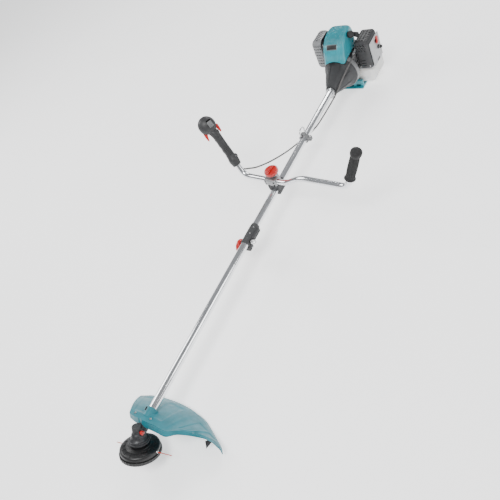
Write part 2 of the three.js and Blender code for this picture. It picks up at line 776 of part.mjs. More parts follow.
function harnessClamp() {
  const band = solid(alongY(rod(20, RING_AT - 9, RING_AT + 9, 18), 0, 0, 0));
  const ears = roundedBlock([14, RING_AT - 9, -9], [32, RING_AT + 9, 9], 'y', 4);
  const saddle = block([-9, RING_AT - 9, 12], [9, RING_AT + 9, 25]);
  const bore = solid(alongY(rod(TUBE_RADIUS + GAP, RING_AT - 20, RING_AT + 20), 0, 0, 0));
  const split = block([10, RING_AT - 20, -1.2], [50, RING_AT + 20, 1.2]);
  const eyeRoom = solid(alongY(rod(3.2, RING_AT - 30, RING_AT + 30, 16), 0, 0, 20.5));
  return cut(join(band, ears, saddle), bore, split, eyeRoom);
}

// A closed chrome loop through the saddle: it stands up from the tube for the strap's hook.
function harnessEyelet() {
  const loop = new THREE.CatmullRomCurve3([
    [0, 0, 20.5], [11, 0, 20.8], [17.5, 0, 27], [18.5, 0, 37], [12, 0, 46], [0, 0, 49],
    [-12, 0, 46], [-18.5, 0, 37], [-17.5, 0, 27], [-11, 0, 20.8],
  ].map((point) => new THREE.Vector3(...point)), true);
  return closedLoop(loop, 2.6, 24, 8).rotate([0, 0, 90]).translate([0, RING_AT, 0]);
}

// A round bar along a closed curve that lies in the x-z plane.
function closedLoop(curve, radius, steps, sides) {
  const across = new THREE.Vector3(0, 1, 0);
  const rings = [];
  for (let i = 0; i < steps; i += 1) {
    const centre = curve.getPoint(i / steps);
    const side = curve.getTangent(i / steps).cross(across).normalize();
    const ring = [];
    for (let j = 0; j < sides; j += 1) {
      const turn = (j / sides) * Math.PI * 2;
      const point = centre.clone().addScaledVector(side, radius * Math.cos(turn));
      ring.push(point.addScaledVector(across, radius * Math.sin(turn)).toArray());
    }
    rings.push(ring);
  }
  return ringSolid(rings);
}

// ---- Throttle cable ----

const CABLE_RADIUS = 3.2;
const cableRoute = [
  [-162, 1050, 77], [-157, 1048, 64], [-148, 1049, 54], [-132, 1057, 49], [-104, 1075, 41],
  [-76, 1130, 20], [-52, 1208, -5], [-33, 1275, -19], [-14, 1322, -24], [6, 1375, -22],
  [17, 1425, -15], [21, 1485, -13], [24, 1556, -10], [37, 1596, 14], [53, 1640, 42],
  [63, 1682, 58], [67, 1714, 63], [66, 1730, 62],
];

function throttleCable() {
  const route = new THREE.CatmullRomCurve3(cableRoute.map((point) => new THREE.Vector3(...point)));
  return tubeAlong(route, CABLE_RADIUS, 50, 8);
}

// ---- Engine ----

function clampRing() {
  const ring = solid(alongY(sleeve(19, TUBE_RADIUS + GAP, CLAMP_RING_START, CLAMP_RING_START + 13), 0, 0, 0));
  const ears = roundedBlock([-7, CLAMP_RING_START, -29], [7, CLAMP_RING_START + 13, -16], 'y', 2);
  const slit = block([-1, CLAMP_RING_START - 5, -40], [1, CLAMP_RING_START + 20, -10]);
  return cut(join(ring, ears), slit);
}

function clutchHousing() {
  return alongY(ringed([
    [TUBE_RADIUS + GAP, CLAMP_RING_START + 14], [24, CLAMP_RING_START + 14], [27, 1582], [38, 1610],
    [52, 1645], [60, 1668], [72, 1684], [74, 1690], [44, 1690], [44, 1640], [41, 1624], [18, 1608],
    [TUBE_RADIUS + GAP, 1604],
  ], 18), 0, 0, 0);
}

function clutchDrum() {
  return alongY(ringed([
    [DRIVE_RADIUS + 0.25, 1624.3], [12, 1626], [36, 1630], [38, 1633], [38, 1660], [35.5, 1660],
    [35.5, 1635], [9, 1632], [DRIVE_RADIUS + 0.25, 1632],
  ], 18), 0, 0, 0);
}

// The crankshaft runs in the crankcase, with its throw drawn as a balanced disc.
function crankshaft() {
  return alongY(turned([
    [0, 1642], [8, 1642], [8, 1740], [26, 1740], [26, 1773], [8, 1773], [8, 1812], [0, 1812],
  ], 24), 0, 0, 0);
}

// A finned flywheel in front, with the clutch's hub on the same face.
function flywheel() {
  const disc = solid(alongY(sleeve(66, 8.3, 1705, 1710, 24), 0, 0, 0));
  const hub = solid(alongY(sleeve(30, 8.3, 1642, 1706, 20), 0, 0, 0));
  let wheel = join(disc, hub);
  const vanes = 8;
  for (let i = 0; i < vanes; i += 1) {
    const vane = block([34, 1695, -1.5], [64, 1706, 1.5]);
    wheel = join(wheel, vane.rotate([0, (360 / vanes) * i, 0]));
  }
  return wheel;
}

function crankcase() {
  const shroud = solid(alongY(ringed([
    [70, 1690.4], [76, 1690.4], [77, 1712], [60, 1720], [48, 1726], [46, 1788], [10, 1788], [10, 1780],
    [32, 1780], [32, 1734], [12, 1734], [12, 1714], [70, 1714],
  ], 18), 0, 0, 0));
  const throat = solid(moved(rod(20.5, 10, 90, 18), 0, ENGINE_AT, 0));
  const deck = roundedBlock([-30, ENGINE_AT - 28, 30], [30, ENGINE_AT + 28, 58], 'z', 5);
  const chamber = solid(alongY(rod(32, 1734, 1780, 20), 0, 0, 0));
  return cut(join(shroud, cut(deck, chamber)), throat);
}

function cylinder() {
  const profile = [[18.4, 50], [20, 50], [20, 58.4], [22, 58.4]];
  const fins = 4;
  for (let i = 0; i < fins; i += 1) {
    const z = 66 + i * 14;
    profile.push([24, z], [32, z], [32, z + 3.6], [24, z + 3.6]);
  }
  profile.push([24, 122], [30, 128], [0, 128], [0, 112], [18.4, 112]);
  return moved(ringed(profile, 16), 0, ENGINE_AT, 0);
}

function piston() {
  const skirt = solid(rod(18, 62, 92, 18));
  const inside = solid(rod(14.5, 55, 86, 20));
  return cut(skirt, inside).translate([0, ENGINE_AT, 0]);
}

function muffler() {
  const box = roundedBlock([-98, ENGINE_AT - 32, 34], [-58, ENGINE_AT + 36, 122], 'z', 10, 3);
  const pipe = roundedBlock([-62, ENGINE_AT - 12, 74], [-36.6, ENGINE_AT + 12, 92], 'x', 4);
  const chamber = roundedBlock([-96, ENGINE_AT - 30, 36], [-60, ENGINE_AT + 34, 120], 'z', 8, 2);
  const port = solid(moved(acrossShaft(rod(6.5, -80, -30)), 0, ENGINE_AT, 83));
  return cut(join(box, pipe), chamber, port);
}

// A thin shell over the muffler, open towards the engine.
function mufflerCover() {
  const outer = roundedBlock([-111, 1698, 14], [-52, 1804, 150], 'y', 30, 14);
  const inner = roundedBlock([-107.6, 1702, 18], [-40, 1800, 146], 'y', 26, 10);
  const engineSide = block([-51.9, 1680, 0], [-20, 1820, 160]);
  const shroudRoom = solid(alongY(rod(78.5, 1650, 1722, 24), 0, 0, 0));
  return cut(outer, inner, engineSide, shroudRoom);
}

// The crown over the cylinder: a side outline, narrowed towards the top.
function coverOutline(inset) {
  const shape = new THREE.Shape();
  shape.moveTo(1652 + inset, 62 - (inset ? 10 : 0));
  shape.lineTo(1660 + inset, 84);
  shape.quadraticCurveTo(1680 + inset, 150 - inset, 1738, 166 - inset);
  shape.quadraticCurveTo(1775, 174 - inset, 1800 - inset, 160 - inset);
  shape.quadraticCurveTo(1812 - inset, 150, 1810 - inset, 128);
  shape.lineTo(1806 - inset, 62 - (inset ? 10 : 0));
  return shape;
}

function coverBlock(inset, halfWidth) {
  const bevel = inset ? 8 : 11;
  const geometry = new THREE.ExtrudeGeometry(coverOutline(inset), {
    depth: (halfWidth - bevel) * 2,
    bevelThickness: bevel,
    bevelSize: bevel,
    bevelOffset: -bevel,
    bevelSegments: 3,
    curveSegments: 6,
  });
  geometry.rotateX(Math.PI / 2).rotateZ(Math.PI / 2).translate(-(halfWidth - bevel), 0, 0);
  return solid(geometry);
}

function engineCover() {
  const outer = coverBlock(0, 48);
  const inner = coverBlock(3, 45);
  const below = block([-80, 1600, 20], [80, 1900, 66]);
  const shroudRoom = solid(alongY(rod(79, 1600, 1722, 24), 0, 0, 0));
  const exhaustRoom = block([-60, ENGINE_AT - 15, 60], [-40, ENGINE_AT + 15, 95]);
  const bootRoom = solid(new THREE.SphereGeometry(17.5, 14, 8).translate(60, 1752, 142));
  return cut(outer, inner, below, shroudRoom, exhaustRoom, bootRoom);
}

function plugBoot() {
  const ball = solid(new THREE.SphereGeometry(15, 14, 8).translate(60, 1752, 142));
  const neck = solid(new THREE.CylinderGeometry(9, 11, 30, 18).rotateZ(degrees(70)).translate(70, 1766, 132));
  return join(ball, neck);
}

function carburettor() {
  const body = roundedBlock([49, 1736, 20], [61.5, 1780, 60], 'x', 5);
  const throat = solid(moved(acrossShaft(rod(9, 30, 100)), 0, 1762, 40));
  return cut(body, throat);
}

function filterCover() {
  const outer = roundedBlock([62, 1737, -24], [129, 1842, 108], 'x', 20, 7);
  const inner = roundedBlock([50, 1741, -20], [125, 1838, 104], 'x', 17, 4);
  const engineSide = block([40, 1700, -60], [62.2, 1900, 130]);
  return cut(outer, inner, engineSide);
}

function filterSidePanel() {
  const panel = roundedBlock([129.3, 1746, -18], [136, 1840, 90], 'x', 20, 2.5);
  return cut(panel, solid(moved(acrossShaft(rod(9.6, 120, 140)), 0, 1812, 34)));
}

function chokeLever() {
  const hub = solid(acrossShaft(rod(7, 136.4, 142, 18)));
  const lever = roundedBlock([137.5, -4, -2], [144.5, 9, 27], 'x', 3);
  return join(hub, lever).translate([0, 1803, 62]);
}

function primerBulb() {
  return moved(acrossShaft(turned([
    [0, 136.4], [9, 136.4], [9, 142], [7.6, 145], [6.4, 150], [3.6, 152.5], [0, 153],
  ], 20)), 0, 1812, 34);
}

function fuelTank() {
  const outer = roundedBlock([-74, 1750, -104], [116, 1882, -26], 'x', 26, 14);
  const inner = roundedBlock([-70.5, 1753.5, -100.5], [112.5, 1878.5, -29.5], 'x', 22.5, 12.5);
  const neck = solid(alongY(rod(21, 1868, 1893, 18), 20, 0, -64));
  const filler = solid(alongY(rod(16, 1860, 1900, 18), 20, 0, -64));
  const crankRoom = solid(alongY(rod(62, 1700, 1800, 20), 0, 0, 0));
  const starterRoom = solid(alongY(rod(59, 1780, 1862, 20), 0, 0, 0));
  return cut(join(outer, neck), cut(inner, solid(alongY(rod(66, 1700, 1900, 20), 0, 0, 0))),
    filler, crankRoom, starterRoom);
}

function fuelCap() {
  const lid = solid(alongY(rod(25, 1893.4, 1903, 18), 20, 0, -64));
  const plug = solid(alongY(rod(15, 1880, 1894, 20), 20, 0, -64));
  const ridge = roundedBlock([-2, 1902, -68], [42, 1909, -60], 'y', 3);
  return join(lid, plug, ridge);
}

// The foot under the tank: a sole, and two cheeks that hold the tank's front edge.
function tankStand() {
  const sole = roundedBlock([-58, FOOT_AT - 16, -AXIS_HEIGHT], [62, FOOT_AT + 46, -AXIS_HEIGHT + 6], 'z', 8);
  const wall = roundedBlock([-58, FOOT_AT - 6, -AXIS_HEIGHT + 2], [62, FOOT_AT + 4, -77.5], 'y', 4);
  const shelf = block([-58, FOOT_AT - 2, -AXIS_HEIGHT + 3], [62, FOOT_AT + 44, -AXIS_HEIGHT + 9]);
  const room = solid(alongY(rod(78.2, 1700, 1735, 18), 0, 0, 0));
  return cut(join(sole, wall, shelf), room);
}

function starterCase() {
  const shell = solid(alongY(turned([
    [0, 1788.4], [54, 1788.4], [57, 1794], [55, 1848], [46, 1858], [0, 1858],
  ], 24), 0, 0, 0));
  const hollow = solid(alongY(rod(42, 1798, STARTER_AT + 12, 20), 0, 0, 0));
  const opening = solid(alongY(rod(14, 1780, 1802, 18), 0, 0, 0));
  const ropeHole = solid(moved(acrossShaft(rod(4, -90, -20, 12)), 0, STARTER_AT, REEL_RADIUS));
  return cut(shell, hollow, opening, ropeHole);
}

function starterReel() {
  return alongY(ringed([
    [5, STARTER_AT - 6], [38, STARTER_AT - 6], [38, STARTER_AT - 4], [REEL_RADIUS, STARTER_AT - 4],
    [REEL_RADIUS, STARTER_AT + 4], [38, STARTER_AT + 4], [38, STARTER_AT + 6], [5, STARTER_AT + 6],
  ], 18), 0, 0, 0);
}

function starterHandle() {
  const bar = roundedBlock([-78, STARTER_AT - 22, 17], [-65, STARTER_AT + 22, 31], 'y', 6);
  const stem = solid(moved(acrossShaft(rod(6, -68, -58.5)), 0, STARTER_AT, REEL_RADIUS));
  return join(bar, stem);
}

// ---- Assembly ----

part('lower_tube', lowerTube(), chrome, shaftFrame);
part('upper_tube', upperTube(), chrome, shaftFrame);
part('lower_drive_shaft', lowerDriveShaft(), steel, shaftFrame);
part('upper_drive_shaft', upperDriveShaft(), steel, shaftFrame);
part('bevel_pinion', bevelPinion(), steel, shaftFrame);

part('bevel_gear', bevelWheel(), steel, headFrame);
part('gear_case', gearCase(), darkCast, headFrame);
part('gear_case_cap', gearCaseCap(), darkPlastic, headFrame);
part('grease_plug', greasePlug(), redPlastic, headFrame);
part('output_bearing', outputBearing(), steel, headFrame);
part('output_shaft', outputShaft(), steel, headFrame);
part('head_cover', headCover(), blackPlastic, headFrame);
part('head_bowl', headBowl(), blackPlastic, headFrame);
part('spool', spool(), blackPlastic, headFrame);
part('bump_button', bumpButton(), blackPlastic, headFrame);
part('bump_spring', bumpSpring(), steel, headFrame);
part('line_right', nylonEnd(1, 113), nylonLine, headFrame);
part('line_left', nylonEnd(-1, 86), nylonLine, headFrame);
part('guard_shell', guardShell(), teal, headFrame);
part('line_cutter_blade', lineCutterBlade(), blackPlastic, headFrame);

part('coupler_body', couplerBody(), darkPlastic, shaftFrame);
part('coupler_knob', couplerKnob(), redPlastic, shaftFrame);
part('lock_pin', lockPin(), chrome, shaftFrame);

part('bar_clamp_lower', barClampLower(), darkPlastic, shaftFrame);
part('bar_clamp_upper', barClampUpper(), darkPlastic, shaftFrame);
part('bar_swivel', barSwivel(), castAlloy, barFrame);
part('bar_knob', barKnob(), redPlastic, barFrame);
part('handlebar', handlebar(), chrome, barFrame);
part('hand_grip', handGrip(), rubber, gripFrame);
part('throttle_handle_left', handleHalf(1), darkPlastic, handleFrame);
part('throttle_handle_right', handleHalf(-1), darkPlastic, handleFrame);
part('throttle_trigger', throttleTrigger(), redPlastic, handleFrame);
part('lock_off_lever', lockOffLever(), redPlastic, handleFrame);
part('stop_switch', stopSwitch(), darkPlastic, handleFrame);
part('throttle_cable', throttleCable(), darkPlastic, shaftFrame);

part('harness_clamp', harnessClamp(), greyPlastic, shaftFrame);
part('harness_eyelet', harnessEyelet(), chrome, shaftFrame);

part('tube_clamp_ring', clampRing(), chrome, shaftFrame);
part('clutch_housing', clutchHousing(), darkPlastic, shaftFrame);
part('clutch_drum', clutchDrum(), steel, shaftFrame);
part('crankshaft', crankshaft(), steel, shaftFrame);
part('flywheel', flywheel(), castAlloy, shaftFrame);
part('crankcase', crankcase(), castAlloy, shaftFrame);
part('cylinder', cylinder(), castAlloy, shaftFrame);
part('piston', piston(), castAlloy, shaftFrame);
part('muffler', muffler(), steel, shaftFrame);
part('muffler_cover', mufflerCover(), greyPlastic, shaftFrame);
part('engine_cover', engineCover(), teal, shaftFrame);
part('plug_boot', plugBoot(), rubber, shaftFrame);
part('carburettor', carburettor(), castAlloy, shaftFrame);
part('filter_cover', filterCover(), darkPlastic, shaftFrame);
part('filter_side_panel', filterSidePanel(), palePlastic, shaftFrame);
part('choke_lever', chokeLever(), redPlastic, shaftFrame);
part('primer_bulb', primerBulb(), blackPlastic, shaftFrame);
part('fuel_tank', fuelTank(), tankPlastic, shaftFrame);
part('fuel_cap', fuelCap(), blackPlastic, shaftFrame);
part('tank_stand', tankStand(), teal, shaftFrame);
part('starter_case', starterCase(), darkPlastic, shaftFrame);
part('starter_reel', starterReel(), blackPlastic, shaftFrame);
part('starter_handle', starterHandle(), blackPlastic, shaftFrame);

export default trimmer;
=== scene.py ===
import math

import bmesh
import bpy
from mathutils import Matrix, Vector


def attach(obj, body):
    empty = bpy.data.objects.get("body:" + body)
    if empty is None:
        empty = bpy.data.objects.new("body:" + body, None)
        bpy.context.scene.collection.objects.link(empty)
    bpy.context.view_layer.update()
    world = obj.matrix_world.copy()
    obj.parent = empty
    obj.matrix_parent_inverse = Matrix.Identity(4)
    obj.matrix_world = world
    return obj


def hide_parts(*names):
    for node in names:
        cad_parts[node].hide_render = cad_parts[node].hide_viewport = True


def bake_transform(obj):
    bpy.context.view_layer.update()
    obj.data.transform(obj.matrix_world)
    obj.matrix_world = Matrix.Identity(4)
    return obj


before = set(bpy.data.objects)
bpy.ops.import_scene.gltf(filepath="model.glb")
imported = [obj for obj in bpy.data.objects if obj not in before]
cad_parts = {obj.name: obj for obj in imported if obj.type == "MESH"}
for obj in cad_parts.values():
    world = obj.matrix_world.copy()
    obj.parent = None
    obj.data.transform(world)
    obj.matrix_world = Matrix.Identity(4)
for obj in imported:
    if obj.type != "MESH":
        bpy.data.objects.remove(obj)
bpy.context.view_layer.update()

MM = 0.001
FOOT_AT = 1740
AXIS_HEIGHT = 116
TUBE_RADIUS = 14
FOLD_AT = 1026
BAR_SETBACK = 16
RING_AT = 1284
ENGINE_AT = 1756
GAP = 0.3

# ---- Placing: moves in millimetres and turns in degrees ----


def at(x, y, z):
    return Matrix.Translation((x, y, z))


def about_x(degrees):
    return Matrix.Rotation(math.radians(degrees), 4, "X")


def about_y(degrees):
    return Matrix.Rotation(math.radians(degrees), 4, "Y")


def about_z(degrees):
    return Matrix.Rotation(math.radians(degrees), 4, "Z")


# ---- Frames, in millimetres: the shaft's, the cutting head's, and the handlebar's ----

GEAR_ANGLE = 57.2
BAR_TURN = -7
CONTROL_LIFT = 28
SHAFT = Matrix.Scale(MM, 4) @ Matrix.Translation((0, -FOOT_AT, AXIS_HEIGHT))
HEAD = SHAFT @ about_x(-(90 - GEAR_ANGLE))
BAR = SHAFT @ at(0, FOLD_AT, 0) @ about_z(BAR_TURN)


def bar_end(corner, rise, side):
    """A frame whose z runs up a bar end from its corner, with x towards the given side."""
    z = Vector(rise).normalized()
    y = z.cross(Vector(side)).normalized()
    x = y.cross(z)
    turn = Matrix((x, y, z)).transposed().to_4x4()
    return BAR @ Matrix.Translation(corner) @ turn


LEFT_CORNER = Vector((-135, -BAR_SETBACK, 42))
RIGHT_CORNER = Vector((341, -BAR_SETBACK, 85))
LEFT_RISE = Vector((-0.45, 0.18, 0.875)).normalized()
RIGHT_RISE = Vector((0.37, 0.19, 0.91)).normalized()
GRIP = bar_end(RIGHT_CORNER, RIGHT_RISE, (0, -1, 0))
HANDLE = bar_end(LEFT_CORNER, LEFT_RISE, (-0.55, -0.83, 0))
# The handle's controls are drawn for a shorter grip and lifted together.
CONTROLS = HANDLE @ at(0, 0, CONTROL_LIFT)

# Turns a body made about z so that it runs along the shaft or across it.
ALONG = about_x(-90)
ACROSS = about_y(90)
AXIS = SHAFT @ ALONG

# Places that more than one piece uses, in the shaft's frame.
COUPLER_BOLT = (0, 742, -21.5)
LOCK_PIN = (0, 752, 0)
PLUG_BOOT = (60, 1752, 142)
PRIMER = (0, 1812, 34)
ROPE_HOLE = (0, 1830, 24)


# ---- Materials ----


class Shader:
    """A small builder for one procedural material."""

    def __init__(self, name):
        self.material = bpy.data.materials.new(name)
        self.material.use_nodes = True
        self.tree = self.material.node_tree
        self.shader = self.tree.nodes["Principled BSDF"]
        self.place = self.tree.nodes.new("ShaderNodeTexCoord").outputs["Object"]

    def set(self, **sockets):
        for name, value in sockets.items():
            self.shader.inputs[name.replace("_", " ")].default_value = value

    def noise(self, scale, detail=3.0, stretch=None, kind="ShaderNodeTexNoise"):
        node = self.tree.nodes.new(kind)
        node.inputs["Scale"].default_value = scale
        if kind == "ShaderNodeTexNoise":
            node.inputs["Detail"].default_value = detail
        place = self.place
        if stretch:
            mapping = self.tree.nodes.new("ShaderNodeMapping")
            mapping.inputs["Scale"].default_value = stretch
            self.tree.links.new(self.place, mapping.inputs["Vector"])
            place = mapping.outputs["Vector"]
        self.tree.links.new(place, node.inputs["Vector"])
        return node.outputs[0]

    def ramp(self, source, stops):
        node = self.tree.nodes.new("ShaderNodeValToRGB")
        ramp = node.color_ramp
        ramp.elements[0].position, ramp.elements[-1].position = stops[0][0], stops[-1][0]
        ramp.elements[0].color, ramp.elements[-1].color = stops[0][1], stops[-1][1]
        for position, color in stops[1:-1]:
            ramp.elements.new(position).color = color
        self.tree.links.new(source, node.inputs["Fac"])
        return node.outputs["Color"]

    def spread(self, source, low, high):
        node = self.tree.nodes.new("ShaderNodeMapRange")
        node.inputs["From Min"].default_value = 0.3
        node.inputs["From Max"].default_value = 0.7
        node.inputs["To Min"].default_value = low
        node.inputs["To Max"].default_value = high
        self.tree.links.new(source, node.inputs["Value"])
        return node.outputs["Result"]

    def into(self, socket, source):
        self.tree.links.new(source, self.shader.inputs[socket])

    def bump(self, source, strength, distance):
        node = self.tree.nodes.new("ShaderNodeBump")
        node.inputs["Strength"].default_value = strength
        node.inputs["Distance"].default_value = distance
        self.tree.links.new(source, node.inputs["Height"])
        previous = self.shader.inputs["Normal"]
        if previous.is_linked:
            self.tree.links.new(previous.links[0].from_socket, node.inputs["Normal"])
        self.tree.links.new(node.outputs["Normal"], previous)


def shade(color, factor):
    return tuple(min(1.0, channel * factor) for channel in color) + (1.0,)


def moulded(name, color, rough=0.42, grain=1400, depth=0.00012, variation=0.12, coat=0.0):
    """Injection-moulded plastic: fine spark-eroded grain, faint cloudiness and light scuffs."""
    s = Shader(name)
    cloud = s.noise(28, 4)
    s.into("Base Color", s.ramp(cloud,
                                [(0.3, shade(color, 1 - variation)), (0.7, shade(color, 1 + variation))]))
    s.into("Roughness", s.spread(s.noise(60, 5), rough - 0.07, rough + 0.09))
    s.bump(s.noise(grain, 2), 0.35, depth)
    s.bump(s.noise(90, 2), 0.12, 0.0006)
    s.set(Coat_Weight=coat, Coat_Roughness=0.18, Specular_IOR_Level=0.5)
    return s.material


def metal(name, color, rough, grain=(1, 1, 1), scale=500, depth=0.00004, variation=0.08):
    """Bare metal, with the fine marks of how it was finished."""
    s = Shader(name)
    s.set(Metallic=1.0)
    marks = s.noise(scale, 4, grain)
    s.into("Base Color", s.ramp(s.noise(35, 4),
                                [(0.3, shade(color, 1 - variation)),
                                 (0.7, shade(color, 1 + variation / 2))]))
    s.into("Roughness", s.spread(marks, max(0.02, rough - 0.05), rough + 0.08))
    s.bump(marks, 0.25, depth)
    return s.material


def cast(name, color, rough=0.5, metallic=0.85, depth=0.0005):
    """Die-cast or sand-cast alloy: a pebbled skin, with painted shade darkening its hollows and painted light
    on its raised tops.
    """
    s = Shader(name)
    s.set(Metallic=metallic)
    pebble = s.noise(650, 4)
    # The same noise raises the bumps and sets the colour, so the hollows are painted darker and the tops
    # lighter: painted shade and painted light.
    s.into("Base Color", s.ramp(pebble, [(0.35, shade(color, 0.72)), (0.65, shade(color, 1.12))]))
    s.into("Roughness", s.spread(s.noise(120, 5), rough - 0.08, rough + 0.12))
    s.bump(pebble, 0.5, depth)
    return s.material


def tank_shell(name):
    """Blow-moulded natural polyethylene: milky, slightly see-through, with a soft mottle."""
    s = Shader(name)
    cloud = s.noise(22, 4)
    s.into("Base Color", s.ramp(cloud, [(0.3, (0.70, 0.69, 0.66, 1)), (0.7, (0.84, 0.83, 0.81, 1))]))
    s.into("Roughness", s.spread(s.noise(75, 4), 0.3, 0.46))
    s.bump(s.noise(420, 3), 0.3, 0.0003)
    s.set(Subsurface_Weight=0.35, Subsurface_Radius=(0.02, 0.018, 0.015), Subsurface_Scale=0.5)
    return s.material


def rubber_skin(name, color=(0.009, 0.009, 0.0095)):
    s = Shader(name)
    s.into("Base Color", s.ramp(s.noise(45, 5), [(0.3, shade(color, 0.8)), (0.75, shade(color, 1.7))]))
    s.into("Roughness", s.spread(s.noise(150, 4), 0.62, 0.82))
    s.bump(s.noise(1800, 2), 0.4, 0.00015)
    return s.material


TEAL = (0.012, 0.235, 0.285)
GUARD_TEAL = (0.008, 0.155, 0.195)
DARK = (0.026, 0.0265, 0.028)

look = {
    "engine_teal": moulded("engine_teal", TEAL, 0.34, coat=0.25),
    "guard_teal": moulded("guard_teal", GUARD_TEAL, 0.42, 1100, 0.00016, 0.15, 0.1),
    "dark": moulded("dark_plastic", DARK, 0.5),
    "dark_soft": moulded("dark_soft_plastic", (0.032, 0.033, 0.035), 0.58, 900, 0.0002),
    "black": moulded("black_plastic", (0.005, 0.005, 0.0055), 0.4),
    "red": moulded("red_plastic", (0.47, 0.010, 0.007), 0.32, coat=0.3),
    "grey": moulded("grey_plastic", (0.16, 0.163, 0.167), 0.45, variation=0.08),
    "pale": moulded("pale_plastic", (0.40, 0.405, 0.41), 0.38, variation=0.06),
    "cover_grey": moulded("cover_grey", (0.19, 0.193, 0.2), 0.42, variation=0.08, coat=0.1),
    # Near-black painted shade for holes, slots and recesses: cutters made of it leave it on the walls they
    # cut, and thin blocks of it stand in recesses.
    "painted_hole_shade": moulded("shadow_black", (0.002, 0.002, 0.002), 0.8),
    "tank": tank_shell("tank_plastic"),
    "rubber": rubber_skin("rubber"),
    "chrome": metal("chrome", (0.80, 0.81, 0.83), 0.12, (1, 0.05, 1), 900),
    "bar_chrome": metal("bar_chrome", (0.76, 0.77, 0.79), 0.14, (0.1, 1, 1), 900),
    "steel": metal("machined_steel", (0.52, 0.53, 0.54), 0.3, (1, 0.15, 1), 700),
    "screw": metal("screw_steel", (0.60, 0.60, 0.61), 0.26, (1, 1, 1), 1200),
    "blade": metal("blade_steel", (0.03, 0.03, 0.032), 0.38, (1, 1, 0.2), 900),
    "cast": cast("cast_alloy", (0.34, 0.345, 0.35)),
    "case": cast("gear_case_paint", (0.034, 0.035, 0.038), 0.46, 0.35, 0.0004),
    "line": moulded("nylon_line", (0.62, 0.045, 0.014), 0.34, 2400, 0.00005, 0.2),
    "line_worn": moulded("nylon_line_worn", (0.66, 0.2, 0.12), 0.5, 2400, 0.00005, 0.2),
    "cable": moulded("cable_sheath", (0.085, 0.08, 0.078), 0.5, 2200, 0.0001),
    "rope": moulded("rope", (0.03, 0.03, 0.032), 0.75, 2600, 0.0005, 0.4),
}

# ---- Mesh building: every piece is made in its frame's millimetres and placed by a matrix ----


def piece(name, verts, faces, matrix, material, smooth=35):
    mesh = bpy.data.meshes.new(name)
    mesh.from_pydata([tuple(matrix @ Vector(v)) for v in verts], [], faces)
    mesh.validate()
    tidy = bmesh.new()
    tidy.from_mesh(mesh)
    bmesh.ops.remove_doubles(tidy, verts=tidy.verts, dist=1e-7)
    bmesh.ops.recalc_face_normals(tidy, faces=tidy.faces)
    tidy.to_mesh(mesh)
    tidy.free()
    made = bpy.data.objects.new(name, mesh)
    bpy.context.scene.collection.objects.link(made)
    mesh.materials.append(look[material])
    round_off(made, smooth)
    return made


def round_off(made, angle):
    """Smooth shading that keeps edges sharper than the angle crisp."""
    edges = bmesh.new()
    edges.from_mesh(made.data)
    limit = math.radians(angle)
    for edge in edges.edges:
        edge.smooth = len(edge.link_faces) == 2 and edge.calc_face_angle(0) < limit
    for face in edges.faces:
        face.smooth = True
    edges.to_mesh(made.data)
    edges.free()


def settle(made):
    """Applies the modifiers to the mesh."""
    graph = bpy.context.evaluated_depsgraph_get()
    mesh = bpy.data.meshes.new_from_object(made.evaluated_get(graph))
    made.modifiers.clear()
    made.data = mesh
    return made


def bevelled(made, width=0.6, segments=3, angle=35):
    """Rounds the sharp edges, as a mould or a file does."""
    modifier = made.modifiers.new("edge", "BEVEL")
    modifier.width = width * MM
    modifier.segments = segments
    modifier.limit_method = "ANGLE"
    modifier.angle_limit = math.radians(angle)
    modifier.harden_normals = False
    settle(made)
    round_off(made, angle)
    return made


def boolean(made, tools, operation="DIFFERENCE", angle=35):
    for tool in tools:
        modifier = made.modifiers.new("cut", "BOOLEAN")
        modifier.operation = operation
        modifier.object = tool
        modifier.solver = "MANIFOLD"
        # Cut faces take the cutter's material, so a cutter made in the near-black hole material paints shade
        # on the walls it cuts.
        modifier.material_mode = "TRANSFER"
        settle(made)
        bpy.data.objects.remove(tool)
    round_off(made, angle)
    return made


def joined(name, makers):
    """Joins pieces into one object that keeps each one's material."""
    whole = bmesh.new()
    materials = []
    for source in makers:
        start = len(whole.faces)
        whole.from_mesh(source.data)
        whole.faces.ensure_lookup_table()
        for face in whole.faces[start:]:
            material = source.data.materials[min(face.material_index, len(source.data.materials) - 1)]
            if material not in materials:
                materials.append(material)
            face.material_index = materials.index(material)
        bpy.data.objects.remove(source)
    mesh = bpy.data.meshes.new(name)
    whole.to_mesh(mesh)
    whole.free()
    for material in materials:
        mesh.materials.append(material)
    made = bpy.data.objects.new(name, mesh)
    bpy.context.scene.collection.objects.link(made)
    return made


def fit(made, body, slot, *nodes):
    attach(made, body)
    if nodes:
        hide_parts(*nodes)
    return made


def lathe(name, profile, matrix, material, steps=64, smooth=30, ripple=None):
    """A body of revolution about z from [radius, height] points. ripple(angle, index) scales a radius."""
    verts, faces = [], []
    for i in range(steps):
        turn = 2 * math.pi * i / steps
        for k, (radius, height) in enumerate(profile):
            grown = radius * (ripple(turn, k) if ripple else 1)
            verts.append((grown * math.cos(turn), grown * math.sin(turn), height))
    count = len(profile)
    for i in range(steps):
        here, beside = i * count, ((i + 1) % steps) * count
        for k in range(count - 1):
            faces.append((here + k, beside + k, beside + k + 1, here + k + 1))
    if profile[0][0] > 0.001:
        for i in range(steps):
            here, beside = i * count, ((i + 1) % steps) * count
            faces.append((here + count - 1, beside + count - 1, beside, here))
    return piece(name, verts, [tidy_face(f, verts) for f in faces], matrix, material, smooth)


def tidy_face(face, verts):
    kept = []
    for index in face:
        if not any(verts[index] == verts[other] for other in kept):
            kept.append(index)
    return kept


def rod(name, radius, low, high, matrix, material, steps=32, edge=0.4):
    edge = min(edge, radius * 0.4, (high - low) * 0.4)
    profile = [(0, low), (radius - edge, low), (radius, low + edge), (radius, high - edge),
               (radius - edge, high), (0, high)]
    return lathe(name, profile, matrix, material, steps)


def sleeve(name, outer, inner, low, high, matrix, material, steps=64, edge=0.4):
    profile = [(inner, low), (outer - edge, low), (outer, low + edge), (outer, high - edge),
               (outer - edge, high), (inner, high)]
    return lathe(name, profile, matrix, material, steps)


